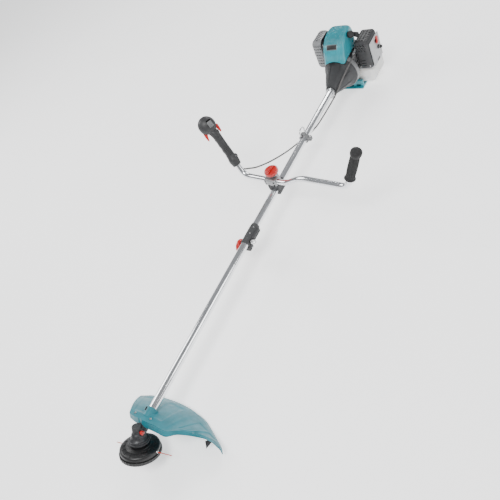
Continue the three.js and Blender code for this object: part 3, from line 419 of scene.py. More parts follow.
def sweep(name, centres, radius, matrix, material, sides=20, closed=False, shape=None, smooth=40):
    """A round bar along centre points. shape(share, angle) scales the radius along and round it."""
    points = [Vector(c) for c in centres]
    count = len(points)
    verts, faces = [], []
    across = None
    for i, point in enumerate(points):
        before = points[i - 1] if i or closed else points[0]
        after = points[(i + 1) % count] if i < count - 1 or closed else points[-1]
        run = (after - before).normalized()
        if across is None:
            across = run.orthogonal().normalized()
        across = (across - run * across.dot(run)).normalized()
        up = run.cross(across)
        for k in range(sides):
            turn = 2 * math.pi * k / sides
            grown = radius * (shape(i / max(count - 1, 1), turn) if shape else 1)
            verts.append(point + across * grown * math.cos(turn) + up * grown * math.sin(turn))
    rows = count if closed else count - 1
    for i in range(rows):
        for k in range(sides):
            a, b = i * sides + k, i * sides + (k + 1) % sides
            c, d = ((i + 1) % count) * sides + (k + 1) % sides, ((i + 1) % count) * sides + k
            faces.append((a, b, c, d))
    if not closed:
        faces.append(tuple(range(sides)))
        faces.append(tuple(range((count - 1) * sides, count * sides)))
    return piece(name, verts, faces, matrix, material, smooth)


def smooth_point(p0, p1, p2, p3, t):
    """A point of the smooth curve from p1 to p2, which the points beside them bend."""
    bend = (2 * p0 - 5 * p1 + 4 * p2 - p3) * t * t
    return 0.5 * (2 * p1 + (p2 - p0) * t + bend + (3 * p1 - p0 - 3 * p2 + p3) * t ** 3)


def spline(points, steps=8, closed=False):
    """A Catmull-Rom curve through the points."""
    chain = [Vector(p) for p in points]
    count = len(chain)
    out = []
    for i in range(count if closed else count - 1):
        p1, p2 = chain[i], chain[(i + 1) % count]
        p0 = chain[i - 1] if i or closed else 2 * p1 - p2
        p3 = chain[(i + 2) % count] if i + 2 < count or closed else 2 * p2 - p1
        for k in range(steps):
            t = k / steps
            out.append(0.5 * (2 * p1 + (p2 - p0) * t + (2 * p0 - 5 * p1 + 4 * p2 - p3) * t * t
                              + (3 * p1 - p0 - 3 * p2 + p3) * t ** 3))
    if not closed:
        out.append(chain[-1])
    return out


def bent(corners, easing=30, steps=10):
    """Straight runs joined by eased bends."""
    chain = [Vector(c) for c in corners]
    out = [chain[0]]
    for i in range(1, len(chain) - 1):
        start = chain[i] + (chain[i - 1] - chain[i]).normalized() * easing
        end = chain[i] + (chain[i + 1] - chain[i]).normalized() * easing
        for k in range(steps + 1):
            t = k / steps
            out.append(start * (1 - t) ** 2 + chain[i] * 2 * t * (1 - t) + end * t * t)
    out.append(chain[-1])
    fine = []
    for first, second in zip(out, out[1:]):
        cuts = max(1, round((second - first).length / 12))
        fine += [first.lerp(second, k / cuts) for k in range(cuts)]
    return fine + [out[-1]]


def block(name, low, high, matrix, material, edge=1.0, segments=3):
    """A box with rounded edges, between two corners."""
    verts = [(x, y, z) for x in (low[0], high[0]) for y in (low[1], high[1]) for z in (low[2], high[2])]
    faces = [(0, 1, 3, 2), (4, 6, 7, 5), (0, 4, 5, 1), (2, 3, 7, 6), (0, 2, 6, 4), (1, 5, 7, 3)]
    made = piece(name, verts, faces, matrix, material)
    edge = min(edge, *[(h - l) * 0.45 for l, h in zip(low, high)])
    return bevelled(made, edge, segments) if edge > 0 else made


def pebble(name, low, high, radius, matrix, material, cells=24, warp=None, smooth=40):
    """A rounded box made of a fine grid, so that warp(point, outward) can raise ribs or press panels."""
    lo, hi = Vector(low), Vector(high)
    centre, half = (lo + hi) / 2, (hi - lo) / 2
    limit = min(radius, *half)
    core = Vector([max(h - limit, 0.01) for h in half])
    verts, faces, seen = [], [], {}

    def add(direction):
        key = tuple(round(c, 6) for c in direction)
        if key not in seen:
            spot = Vector([direction[i] * half[i] for i in range(3)])
            inner = Vector([max(-core[i], min(core[i], spot[i])) for i in range(3)])
            out = spot - inner
            outward = out.normalized() if out.length > 1e-6 else direction.normalized()
            point = centre + inner + outward * limit
            if warp:
                point = warp(point, outward)
            seen[key] = len(verts)
            verts.append(point)
        return seen[key]

    for axis in range(3):
        for sign in (-1, 1):
            rows = []
            for i in range(cells + 1):
                row = []
                for k in range(cells + 1):
                    direction = Vector((0, 0, 0))
                    direction[axis] = sign
                    direction[(axis + 1) % 3] = 2 * i / cells - 1
                    direction[(axis + 2) % 3] = 2 * k / cells - 1
                    row.append(add(direction))
                rows.append(row)
            for i in range(cells):
                for k in range(cells):
                    faces.append((rows[i][k], rows[i + 1][k], rows[i + 1][k + 1], rows[i][k + 1]))
    return piece(name, verts, faces, matrix, material, smooth)


def plate(name, outline, low, high, matrix, material, edge=0.6, segments=2):
    """An outline in x and y given a thickness in z, with its edges eased."""
    count = len(outline)
    verts = [(x, y, low) for x, y in outline] + [(x, y, high) for x, y in outline]
    faces = [tuple(range(count))[::-1], tuple(range(count, 2 * count))]
    faces += [(i, (i + 1) % count, count + (i + 1) % count, count + i) for i in range(count)]
    made = piece(name, verts, faces, matrix, material)
    return bevelled(made, edge, segments) if edge else made


def screw(name, spot, matrix, radius=3.2, height=2.2, hexagon=False):
    """A pan-head screw with a cross recess, or a hexagon socket, standing on z."""
    place = matrix @ Matrix.Translation(spot)
    dome = [(0, -0.6), (radius, -0.6), (radius, height * 0.45), (radius * 0.86, height * 0.85),
            (radius * 0.5, height), (0, height)]
    head = lathe(name, dome, place, "screw", 24)
    # The socket and the cross recess are cut with the near-black hole material: painted shade inside them.
    if hexagon:
        return boolean(head, [lathe("recess",
                                    [(0, height * 0.3), (radius * 0.5, height * 0.3), (radius * 0.5, 9),
                                     (0, 9)], place, "painted_hole_shade", 6)])
    arm, slim = radius * 0.62, radius * 0.16
    tools = [block("recess", (-arm, -slim, height * 0.35), (arm, slim, 9), place, "painted_hole_shade", 0),
             block("recess", (-slim, -arm, height * 0.35), (slim, arm, 9), place, "painted_hole_shade", 0)]
    return boolean(head, tools)


# ---- Camera, floor and light ----

CAMERA_AT = (1.161, -1.923, 1.516)
CAMERA_RIGHT = (0.8172, 0.4325, -0.3810)
CAMERA_UP = (-0.1308, 0.7829, 0.6082)
CAMERA_LENS = 41.0


def camera():
    data = bpy.data.cameras.new("camera")
    data.lens = CAMERA_LENS
    data.sensor_width = 36
    made = bpy.data.objects.new("camera", data)
    bpy.context.scene.collection.objects.link(made)
    right = Vector(CAMERA_RIGHT).normalized()
    back = right.cross(Vector(CAMERA_UP)).normalized()
    up = back.cross(right)
    made.matrix_world = Matrix.Translation(CAMERA_AT) @ Matrix((right, up, back)).transposed().to_4x4()
    bpy.context.scene.camera = made


def floor():
    size = 9
    mesh = bpy.data.meshes.new("floor")
    corners = [(-size, -size, 0), (size, -size, 0), (size, size, 0), (-size, size, 0)]
    mesh.from_pydata(corners, [], [(0, 1, 2, 3)])
    made = bpy.data.objects.new("floor", mesh)
    bpy.context.scene.collection.objects.link(made)
    s = Shader("floor")
    s.into("Base Color", s.ramp(s.noise(1.5, 3),
                                [(0.3, (0.88, 0.88, 0.88, 1)), (0.7, (0.91, 0.91, 0.91, 1))]))
    s.set(Roughness=0.85, Specular_IOR_Level=0.15, Emission_Strength=0.95)
    s.set(Emission_Color=(1.0, 1.0, 1.0, 1.0))
    mesh.materials.append(s.material)


def softbox(name, spot, aim, size, watts):
    data = bpy.data.lights.new(name, "AREA")
    data.shape = "RECTANGLE"
    data.size, data.size_y = size
    data.energy = watts
    made = bpy.data.objects.new(name, data)
    bpy.context.scene.collection.objects.link(made)
    made.location = spot
    made.rotation_euler = (Vector(aim) - Vector(spot)).to_track_quat("-Z", "Y").to_euler()


def lights():
    middle = (0, -0.8, 0.1)
    softbox("key", (0.6, -2.6, 3.2), middle, (1.5, 1.1), 120)
    softbox("fill", (3.0, -0.2, 1.9), middle, (1.2, 1.6), 34)
    softbox("left", (-2.6, -1.0, 2.2), middle, (1.3, 1.6), 52)
    softbox("back", (-0.4, 2.6, 2.6), middle, (2.2, 1.0), 80)
    world = bpy.data.worlds.new("studio")
    world.use_nodes = True
    world.node_tree.nodes["Background"].inputs["Color"].default_value = (0.93, 0.95, 0.98, 1)
    world.node_tree.nodes["Background"].inputs["Strength"].default_value = 0.42
    bpy.context.scene.world = world


# ---- Shaft ----


def tubes():
    bore = TUBE_RADIUS - 1.6
    lower = sleeve("lower_tube_polished", TUBE_RADIUS, bore, 56, 778, AXIS, "chrome", 80, 0.5)
    # The keyway's walls take the near-black hole material: painted shade.
    keyway = block("keyway", (8, 744, -4.3), (20, 783, 4.3), SHAFT, "painted_hole_shade", 0)
    boolean(lower, [keyway], angle=30)
    fit(lower, "lower_unit", "tube_chrome", "lower_tube")
    upper = sleeve("upper_tube_polished", TUBE_RADIUS, bore, 782, 1602, AXIS, "chrome", 80, 0.5)
    fit(upper, "engine_unit", "tube_chrome", "upper_tube")


# ---- Gear case and cutting head ----


def gear_case():
    """A cast elbow: stepped flanges below, a clamp collar round the tube, and a machined bore."""
    flared = lathe("gear_case_casting", [
        (0, -20.9), (30.4, -20.9), (31.4, -20), (33.4, -19.4), (33.4, -15.2), (32.2, -14.4), (30, -13.8),
        (30, -10.4), (29.2, -9.8), (26.4, -9), (24.6, -7), (22.6, -4), (20, 1), (17.6, 6),
        (16.2, 11), (15.4, 14.5),
        (14.9, 20), (14.9, 27.4), (14.4, 28), (0, 28)], HEAD, "case", 72)
    bulge = lathe("bulge",
                  [(20.5 * math.sin(math.pi * k / 20), -20.5 * math.cos(math.pi * k / 20))
                   for k in range(21)],
                  HEAD, "case", 56)
    # The case's neck runs along the shaft.
    neck = lathe("neck", [(0, 0), (18.4, 0), (18.4, 47), (17.4, 48), (17.4, 51), (18.5, 52), (18.5, 75.2),
                          (17.8, 76), (0, 76)],
                 AXIS, "case", 56)
    ribs = [plate("rib", [(-18, 4), (-20.5, -16), (-28, -19.6), (28, -19.6), (20.5, -16),
                          (18, 4)], -1.6, 1.6,
                  HEAD @ Matrix.Rotation(turn, 4, "Z") @ about_x(90), "case", 0.4)
            for turn in (0, math.pi / 2)]
    casting = boolean(flared, [bulge, neck, *ribs], "UNION", 30)
    hollow = lathe("hollow",
                   [(0, -30), (17.4, -30), (17.4, -6), (16.4, -4), (14, 4), (11, 6), (11, 40), (0, 40)],
                   HEAD, "case", 48)
    bore = rod("bore", TUBE_RADIUS + GAP, 55.7, 90, AXIS, "case", 48, 0)
    shaft_room = rod("shaft_room", 13.4, 0, 24, AXIS, "case", 32, 0)
    drive_room = rod("drive_room", 5, 0, 80, AXIS, "case", 24, 0)
    plug_hole = rod("plug_hole", 4.4, 0, 40, HEAD @ at(0, 0, 17) @ ACROSS, "case", 24, 0)
    slit = block("slit", (-1, 58, 8), (1, 80, 24), SHAFT, "case", 0)
    boolean(casting, [hollow, bore, shaft_room, drive_room, plug_hole, slit], angle=30)
    clamp_screw = screw("clamp_screw", (0, 0, 19.4), SHAFT @ at(16, 66, -16) @ about_y(75), 3, 2.4, True)
    whole = joined("gear_case_cast", [casting, clamp_screw])
    fit(whole, "lower_unit", "dark_cast", "gear_case")
    cap = lathe("gear_case_cap_turned", [
        (0, 21), (10.7, 21), (10.7, 28.3), (14.1, 28.3), (14.4, 28.8), (14.4, 30.6),
        (13.9, 30.9), (13.9, 31.4),
        (14.4, 31.7), (14.4, 33.4), (13.8, 34.5), (12.9, 35), (9.2, 35.1), (8.9, 34.4), (8.4, 34.4),
        (8.1, 35.1), (0, 35.2)],
        HEAD, "dark_soft", 64)
    fit(cap, "lower_unit", "dark_plastic", "gear_case_cap")
    plug_place = HEAD @ at(0, 0, 17) @ ACROSS
    plug = lathe("grease_plug_head",
                 [(0, 12.5), (4.1, 12.5), (4.1, 18.4), (6.1, 18.4), (6.6, 19), (6.6, 24.6), (5.8, 25.6),
                  (4.6, 26), (0, 26)],
                 plug_place, "red", 48,
                 ripple=lambda turn, k: 1 - 0.05 * (k in (3, 4, 5, 6)) * max(0, math.cos(12 * turn)))
    # The slot's walls take the near-black hole material: painted shade.
    boolean(plug, [block("slot", (-8, -0.8, 24.4), (8, 0.8, 30), plug_place, "painted_hole_shade", 0)])
    fit(plug, "lower_unit", "red_plastic", "grease_plug")


LINE_TURN = math.radians(11)
LINE_LEVEL = -45.5


def cutting_head():
    """The head's cover steps down in rings with cooling ribs, and the bowl is ribbed for grip."""
    cover = lathe("head_cover_moulded", [
        (9.6, -24), (23.6, -24), (24.4, -24.5), (25, -25.6), (27.2, -26.6), (34.4, -27.4),
        (35.6, -28), (36, -29.4),
        (38, -30.2), (41, -31), (42, -31.4), (42.4, -32.4), (50, -33.2), (56, -34.2),
        (58.4, -35.4), (60.6, -37.2),
        (61.7, -39.4), (62, -42), (62, -49.4), (61.4, -50), (59.6, -50), (59.6, -41),
        (57.5, -38.2), (53, -36.6),
        (40, -33.8), (33, -30.6), (24, -29.5), (21.5, -27.1), (16, -27), (16, -40.5), (9.6, -40.5)][::-1],
        HEAD, "black", 120, 25)
    ribs = []
    count = 16
    for i in range(count):
        turn = Matrix.Rotation(2 * math.pi * (i + 0.5) / count, 4, "Z")
        ribs.append(plate("rib",
                          [(41.4, -32), (43.5, -31.2), (52, -32.6), (57.8, -34.6), (57.8, -36.4),
                           (41.4, -33.6)],
                          -0.9, 0.9, HEAD @ turn @ about_x(90), "black", 0.3))
    eyelets = []
    for side in (0, math.pi):
        place = HEAD @ Matrix.Rotation(LINE_TURN + side, 4, "Z") @ at(0, 0, LINE_LEVEL)
        eyelets.append(lathe("eyelet",
                             [(2.3, 55), (4.6, 57), (4.7, 62.6), (4.4, 63.4), (3.4, 63.9), (2.3, 63.2)],
                             place @ ACROSS, "steel", 32))
    holes = rod("line_holes", 4.4, -70, 70,
                HEAD @ Matrix.Rotation(LINE_TURN, 4, "Z") @ at(0, 0, LINE_LEVEL) @ ACROSS, "black", 24, 0)
    boolean(cover, [holes], angle=25)
    fit(joined("head_cover_ribbed", [cover, *ribs, *eyelets]), "trimmer_head",
        "black_plastic", "head_cover")
    grips = 36

    def knurl(turn, k):
        return 1 - 0.016 * (k in (2, 3, 4)) * (math.cos(grips * turn) > 0.2)

    bowl = lathe("head_bowl_ribbed", [
        (59.4, -50.4), (64.4, -50.4), (65.2, -51.4), (65.4, -55), (65.2, -59.6), (64.2, -61.2),
        (60, -64), (57, -65.8),
        (50, -68.2), (44, -69.4), (36, -70), (35, -69.2), (32, -69.2), (31, -70.2), (29, -70.4),
        (29, -67.6), (43, -66.5),
        (55, -63.2), (59.4, -59.5)][::-1], HEAD, "black", 216, 25,
        lambda turn, k: knurl(turn, 18 - k))
    fit(bowl, "trimmer_head", "black_plastic", "head_bowl")
    button = lathe("bump_button_worn", [
        (0, -64), (12.4, -64), (12.4, -60.6), (22, -60.6), (27, -62.8), (27.4, -66),
        (26.6, -71), (25.8, -74.6),
        (22.6, -78.6), (18, -80.6), (12, -81.8), (5, -82), (0, -82)][::-1], HEAD, "black", 96, 30,
        lambda turn, k: 1 - 0.03 * (k in (4, 5, 6)) * (math.cos(10 * turn) > 0.6))
    fit(button, "bump_spool", "black_plastic", "bump_button")
    for name, side, reach, ink in (("line_right", 1, 113, "line"), ("line_left", -1, 86, "line_worn")):
        start = Vector((53.5 * side, 0, 0))
        steps = 24
        route = [start.lerp(Vector((reach * side, 0, 0)), k / steps) for k in range(steps + 1)]
        strand = sweep(name + "_strand", route, 1.33,
                       HEAD @ Matrix.Rotation(LINE_TURN, 4, "Z") @ at(0, 0, LINE_LEVEL), ink, 12,
                       shape=lambda share, turn: 1 - 0.02 * abs(math.sin(2 * turn)) - 0.35 * (share > 0.99))
        fit(strand, "trimmer_head", "nylon_line", name)


# ---- Guard ----

GUARD_RAILS = {
    "front_low": [(-50, 22, 31), (-20, 17, 27), (25, 15, 25), (68, 15, 23), (100, 17, 20), (124, 42, 19),
                  (152, 73, 3), (191, 97, -14), (229, 101, -35)],
    "front_high": [(-52, 24, 47), (-20, 17, 50), (25, 15, 50), (67, 15, 49), (100, 20, 41), (122, 46, 32),
                   (150, 75, 14), (190, 96, -4), (227, 100, -27)],
    "crown": [(-92, 82, 39), (-50, 92, 42), (10, 95, 42), (62, 96, 36), (104, 96, 22), (138, 101, 12),
              (168, 106, -1), (202, 108, -13), (230, 101, -29)],
    "rear_high": [(-124, 140, 17), (-84, 166, 13), (-10, 175, 12), (55, 177, 4), (108, 168, -7),
                  (150, 151, -17), (186, 134, -24), (215, 119, -30), (234, 103, -35)],
    "rear_low": [(-128, 146, -8), (-88, 176, -17), (-12, 185.7, -17.9), (57, 187.4, -16.7),
                 (111, 179.6, -21.7),
                 (155, 160, -34), (190, 140, -42), (218, 124, -47), (236, 106, -51)],
}


def along_rail(name, share):
    """A point on a rail, eased through its points as the guard's mould is."""
    rail = GUARD_RAILS[name]
    place = share * (len(rail) - 1)
    index = min(int(place), len(rail) - 2)
    t = place - index
    p1, p2 = Vector(rail[index]), Vector(rail[index + 1])
    p0 = Vector(rail[index - 1]) if index else 2 * p1 - p2
    p3 = Vector(rail[index + 2]) if index + 2 < len(rail) else 2 * p2 - p1
    return smooth_point(p0, p1, p2, p3, t)


def guard_point(share, down):
    """A point of the guard's outer face: down runs from the front lip over the top to the rear rim."""
    rails = [along_rail(name, share) for name in GUARD_RAILS]
    lip, rim = 0.12, 0.86
    if down < lip:
        return rails[0].lerp(rails[1], down / lip)
    if down > rim:
        return rails[3].lerp(rails[4], (down - rim) / (1 - rim))
    u = (down - lip) / (rim - lip)
    middle = rails[2] * 2 - rails[1] * 0.5 - rails[3] * 0.5
    return rails[1] * (1 - u) ** 2 + middle * 2 * u * (1 - u) + rails[3] * u * u


def bell(value, middle, width):
    return math.exp(-((value - middle) / width) ** 2)


def plateau(value, low, high, soft):
    """One between low and high, with eased sides."""
    def step(x):
        x = max(0.0, min(1.0, x))
        return x * x * (3 - 2 * x)
    return step((value - low) / soft + 0.5) * step((high - value) / soft + 0.5)


def guard():
    stations, rows = 150, 84
    verts = []
    for i in range(stations + 1):
        share = i / stations
        for k in range(rows + 1):
            down = k / rows
            point = guard_point(share, down)
            du = guard_point(min(share + 0.004, 1), down) - guard_point(max(share - 0.004, 0), down)
            dv = guard_point(share, min(down + 0.004, 1)) - guard_point(share, max(down - 0.004, 0))
            out = du.cross(dv).normalized()
            if out.z < -0.2 or (abs(out.z) <= 0.2 and out.y * (down - 0.4) < 0):
                out = -out
            # Pressed panels between soft ribs, a border bead at each rim, and a step at the rear.
            press = 0.0
            for low, high in ((0.06, 0.2), (0.25, 0.37), (0.56, 0.68), (0.72, 0.83)):
                press += plateau(share, low, high, 0.02) * plateau(down, 0.26, 0.74, 0.05)
            ridge = 0.9 * bell(share, 0.46, 0.018) * plateau(down, 0.18, 0.8, 0.06)
            bead = 0.8 * bell(down, 0.985, 0.016) + 0.5 * bell(down, 0.13, 0.02)
            step = 0.7 * bell(down, 0.84, 0.018)
            verts.append(point - out * (1.5 * press + 1.0 - ridge - bead * 0.9 + step * 0.6))
    faces = [(i * (rows + 1) + k, (i + 1) * (rows + 1) + k, (i + 1) * (rows + 1) + k + 1,
              i * (rows + 1) + k + 1)
             for i in range(stations) for k in range(rows)]
    shell = piece("guard_sheet", verts, faces, HEAD, "guard_teal", 45)
    thick = shell.modifiers.new("wall", "SOLIDIFY")
    thick.thickness = 2.6 * MM
    thick.offset = -1 if shell.data.polygons[0].normal.z > 0 else 1
    settle(shell)
    round_off(shell, 45)
    boss = lathe("guard_boss", [(19.2, 58), (21.8, 58), (22.4, 58.8), (22.4, 86.4), (21.2, 88),
                                (14.3, 88), (14.3, 76.6), (19.2, 76.6)], AXIS, "guard_teal", 56)
    cut_tube = rod("tube_room", TUBE_RADIUS + GAP, 40, 120, AXIS, "guard_teal", 48, 0)
    cut_neck = rod("neck_room", 19.2, -5, 76.4, AXIS, "guard_teal", 48, 0)
    cut_cap = rod("cap_room", 18, -5, 60, HEAD, "guard_teal", 48, 0)
    boolean(shell, [cut_tube, cut_neck, cut_cap], angle=45)
    fasteners = [screw("guard_screw", (side * 32, 31, 50.3), HEAD, 3.8, 2.6) for side in (-1, 1)]
    # A near-black block set into the boss stands for the slot: painted shade, not a part.
    slot = block("boss_slot", (-9, 72, 19), (-3, 84, 22.3), SHAFT, "painted_hole_shade", 0.4)
    whole = joined("guard_moulded", [shell, boss, slot, *fasteners])
    fit(whole, "lower_unit", "teal_plastic", "guard_shell")
    blade_place = HEAD @ at(183, 110, -34) @ about_z(60) @ about_x(90)
    outline = [(-13, 12), (-12, -16)]
    teeth = 7
    for i in range(teeth):
        t = i / teeth
        outline += [(-12 + 22 * t + 0.6, -16 + 18 * t + 1.6),
                    (-12 + 22 * (t + 0.6 / teeth), -16 + 18 * (t + 0.6 / teeth))]
    outline += [(10, 2), (11, 12)]
    blade = plate("line_cutter_serrated", outline, 0, 1.6, blade_place, "blade", 0.25)
    fit(blade, "lower_unit", "black_plastic", "line_cutter_blade")


# ---- Coupler ----


def coupler():
    shell = lathe("coupler_moulded", [
        (0, 735), (15.9, 735), (17, 736.4), (17, 757), (16.4, 758), (16.4, 761), (17, 762),
        (17, 816), (16.6, 819),
        (15.8, 824), (15.2, 825), (0, 825)], AXIS, "dark_soft", 72)
    lugs = pebble("lugs", (-17, 729, -31), (17, 756, -8), 5, SHAFT, "dark_soft", 12)
    fin = pebble("fin", (12, 764, -7), (27, 812, 7), 3.2, SHAFT, "dark_soft", 14)
    pin_boss = rod("pin_boss", 8.5, 11, 19.8, SHAFT @ at(*LOCK_PIN) @ ACROSS, "black", 40, 0.8)
    ribs = [block("grip_rib", (24.6, 768 + 6 * i, -6), (27, 770.6 + 6 * i, 6), SHAFT, "grey", 0.8)
            for i in range(7)]
    boolean(shell, [lugs, pin_boss, fin], "UNION", 32)
    bore = rod("bore", TUBE_RADIUS + GAP, 715, 830, AXIS, "dark_soft", 56, 0)
    slit = block("slit", (-1.4, 717, -40), (1.4, 766, -5), SHAFT, "dark_soft", 0)
    bolt_hole = rod("bolt_hole", 3.6, -40, 40, SHAFT @ at(*COUPLER_BOLT) @ ACROSS, "dark_soft", 24, 0)
    pin_hole = rod("pin_hole", 3.9, 10, 40, SHAFT @ at(*LOCK_PIN) @ ACROSS, "dark_soft", 24, 0)
    boolean(shell, [bore, slit, bolt_hole, pin_hole], angle=32)
    bolts = [screw("coupler_screw", (0, 0, 16.4), SHAFT @ at(0, s, 0) @ about_y(25), 2.8, 1.6, True)
             for s in (776, 806)]
    fit(joined("coupler_body_moulded", [shell, *ribs, *bolts]), "engine_unit", "dark_plastic",
        "coupler_body")
    place = SHAFT @ at(*COUPLER_BOLT)
    shank = rod("shank", 3.1, -22, 21, place @ ACROSS, "screw", 32)
    washer = sleeve("washer", 13, 3.3, -20.4, -17.7, place @ ACROSS, "screw", 48, 0.4)

    disc = lathe("disc", [(0, -36.8), (19, -36.8), (20.4, -38), (22.5, -38), (24.8, -36.6), (25.5, -35),
                          (25.5, -26.4), (24.6, -24),
                          (22.6, -23), (10, -23), (10, -20.4), (0, -20.4)], place @ ACROSS, "red", 96, 30,
                  lambda turn, k: 1 - 0.02 * (0.5 + 0.5 * math.cos(24 * turn)) if 5 < k < 14 else 1)
    wings = pebble("wings", (-42, -23, -3.5), (-36, 23, 3.5), 2.6, place, "red", 20)
    hub = lathe("hub", [(0, -39.2), (6, -39.2), (7, -38), (7, -36.6), (0, -36.6)],
                place @ ACROSS, "red", 40)
    fit(joined("coupler_disc_knob", [shank, washer, disc, hub, wings]), "coupler_screw", "red_plastic",
        "coupler_knob")
    place = SHAFT @ at(*LOCK_PIN)
    pin = rod("pin", 3.45, 12.9, 27, place @ ACROSS, "screw", 40, 0.8)
    collar = lathe("collar", [(0, 20.2), (7, 20.2), (7.6, 20.8), (7.6, 22.9), (6.9, 23.6), (0, 23.6)],
                   place @ ACROSS, "screw", 48)
    ring = [(32 + 6.4 * math.cos(t), 6.4 * math.sin(t), 0)
            for t in (2 * math.pi * i / 40 for i in range(40))]
    loop = sweep("pull_ring", ring, 1.45, place, "screw", 14, True)
    fit(joined("lock_pin_polished", [pin, collar, loop]), "locking_pin", "tube_chrome", "lock_pin")


# ---- Handlebar clamp ----


def bar_clamp():
    start, end = FOLD_AT - 30, FOLD_AT + 20
    lower = pebble("clamp_shoe", (-19, start, -20), (19, end, -GAP), 5, SHAFT, "dark_soft", 20)
    bore = rod("bore", TUBE_RADIUS + GAP, start - 5, end + 5, AXIS, "dark", 56, 0)
    # The pockets' walls take the near-black hole material: painted shade.
    pockets = [rod("pocket", 3.4, -30, -16.5, SHAFT @ at(x, s, 0), "painted_hole_shade", 24, 0)
               for x in (-13.5, 13.5) for s in (start + 9, end - 9)]
    boolean(lower, [bore, *pockets])
    bolts = [screw("clamp_bolt", (x, s, 0), SHAFT @ at(0, 0, -17.2) @ Matrix.Diagonal((1, 1, -1, 1)),
                   2.9, 1.8, True)
             for x in (-13.5, 13.5) for s in (start + 9, end - 9)]
    fit(joined("bar_clamp_shoe", [lower, *bolts]), "engine_unit", "dark_plastic", "bar_clamp_lower")
    upper = pebble("clamp_seat", (-23, start, GAP), (23, end, 27.6), 4, SHAFT, "dark_soft", 24)
    bore = rod("bore", TUBE_RADIUS + GAP, start - 5, end + 5, AXIS, "dark", 56, 0)
    stud = rod("stud_hole", 4.4, 16, 40, SHAFT @ at(0, FOLD_AT, 0), "dark", 24, 0)
    # The pockets' walls take the near-black hole material: painted shade.
    pockets = [rod("pocket", 4.2, -1, 9, SHAFT @ at(-23.5, s, 15.5) @ ACROSS, "painted_hole_shade", 28, 0)
               for s in (start + 12, start + 33)]
    boolean(upper, [bore, stud, *pockets])
    fit(upper, "engine_unit", "dark_plastic", "bar_clamp_upper")
    saddle = pebble("saddle", (-28, -BAR_SETBACK - 17, 28), (28, -BAR_SETBACK + 15, 57), 7, BAR, "cast", 24)
    tower = lathe("tower",
                  [(0, 28), (21, 28), (20.6, 32), (19, 45), (17, 56), (15.8, 61.8), (15, 62.5), (0, 62.5)],
                  BAR, "cast", 56)
    boolean(saddle, [tower], "UNION")
    bar_bore = rod("bar_bore", 11 + GAP, -50, 50, BAR @ at(0, -BAR_SETBACK, 42) @ ACROSS, "cast", 56, 0)
    stud_bore = rod("stud_bore", 4.5, 20, 70, BAR, "cast", 24, 0)
    # The pockets' walls take the near-black hole material: painted shade.
    holes = [rod("pocket", 3.6, 5, 20, BAR @ at(x, -BAR_SETBACK - 31, 42 + z) @ about_x(-90),
                 "painted_hole_shade", 24, 0)
             for x in (-19, 19) for z in (-6, 6)]
    boolean(saddle, [bar_bore, stud_bore, *holes], angle=30)
    fit(saddle, "handlebars", "cast_alloy", "bar_swivel")


def bar_knob():
    """A round knob with a raised grip across it, a fluted rim and a black collar."""
    flutes = 28
    stud = rod("stud", 3.9, 17.5, 66, BAR, "screw", 32)
    collar = lathe("collar", [(0, 63), (16.2, 63), (17, 63.8), (17, 68.4), (0, 68.4)], BAR, "black", 56)
    grip = lathe("knob", [(0, 68), (24.4, 68), (25.2, 68.5), (26.8, 70.4), (27, 72), (27, 79),
                          (26.6, 80.8), (24.8, 83),
                          (23.2, 83.5), (20.6, 82.6), (0, 82)], BAR, "red", 168, 28,
                 lambda turn, k: 1 - 0.022 * (k in (3, 4, 5, 6)) * max(0, math.cos(flutes * turn)))

    def pinch(point, outward):
        """The grip across the knob is waisted at its middle and falls towards its ends."""
        reach = abs(point.y) / 24
        return Vector((point.x * (0.72 + 0.42 * reach), point.y, point.z - 3.2 * reach ** 3))

    ridge = pebble("ridge", (-5, -23.6, 79), (5, 23.6, 89), 3.6, BAR, "red", 26, pinch)
    fit(joined("bar_knob_moulded", [stud, collar, grip, ridge]), "bar_screw", "red_plastic", "bar_knob")


# ---- Handlebar, grips and controls ----


def handlebar():
    path = bent([
        LEFT_CORNER + LEFT_RISE * 190, LEFT_CORNER, (64, -BAR_SETBACK, 42), (148, -BAR_SETBACK, 86),
        RIGHT_CORNER, RIGHT_CORNER + RIGHT_RISE * 153])
    bar = sweep("handlebar_tube", path, 11, BAR, "bar_chrome", 40)
    fit(bar, "handlebars", "tube_chrome", "handlebar")


def hand_grip():
    """A rubber sleeve: fine ribs round it, a flange at the foot and a slanted palm rest on top."""
    profile = [(11.3, 38), (17.6, 38), (18.4, 38.6), (19.8, 40.4), (19.8, 41.6), (18.4, 45), (16, 46.6)]
    rings = 19
    for i in range(rings):
        z = 49 + i * 4.6
        base = 15.2 + 1.1 * math.sin(math.pi * i / rings)
        profile += [(base, z), (base + 0.9, z + 0.8), (base + 0.9, z + 2.6), (base, z + 3.4)]
    profile += [(15.6, 137), (18.4, 142.6), (19.6, 148), (19.7, 153.4), (18.9, 158), (16.6, 162),
                (12, 164.6), (4, 165),
                (0, 165), (0, 153.4), (11.3, 153.4)]
    lean = 0.3
    grip = lathe("hand_grip_ribbed", profile[::-1], GRIP, "rubber", 96, 30)
    for vertex in grip.data.vertices:
        spot = GRIP.inverted() @ vertex.co
        if spot.z > 153.6:
            spot.z -= (spot.z - 153.4) * lean * max(0, spot.x) / 14
            vertex.co = GRIP @ spot
    fit(grip, "handlebars", "rubber", "hand_grip")


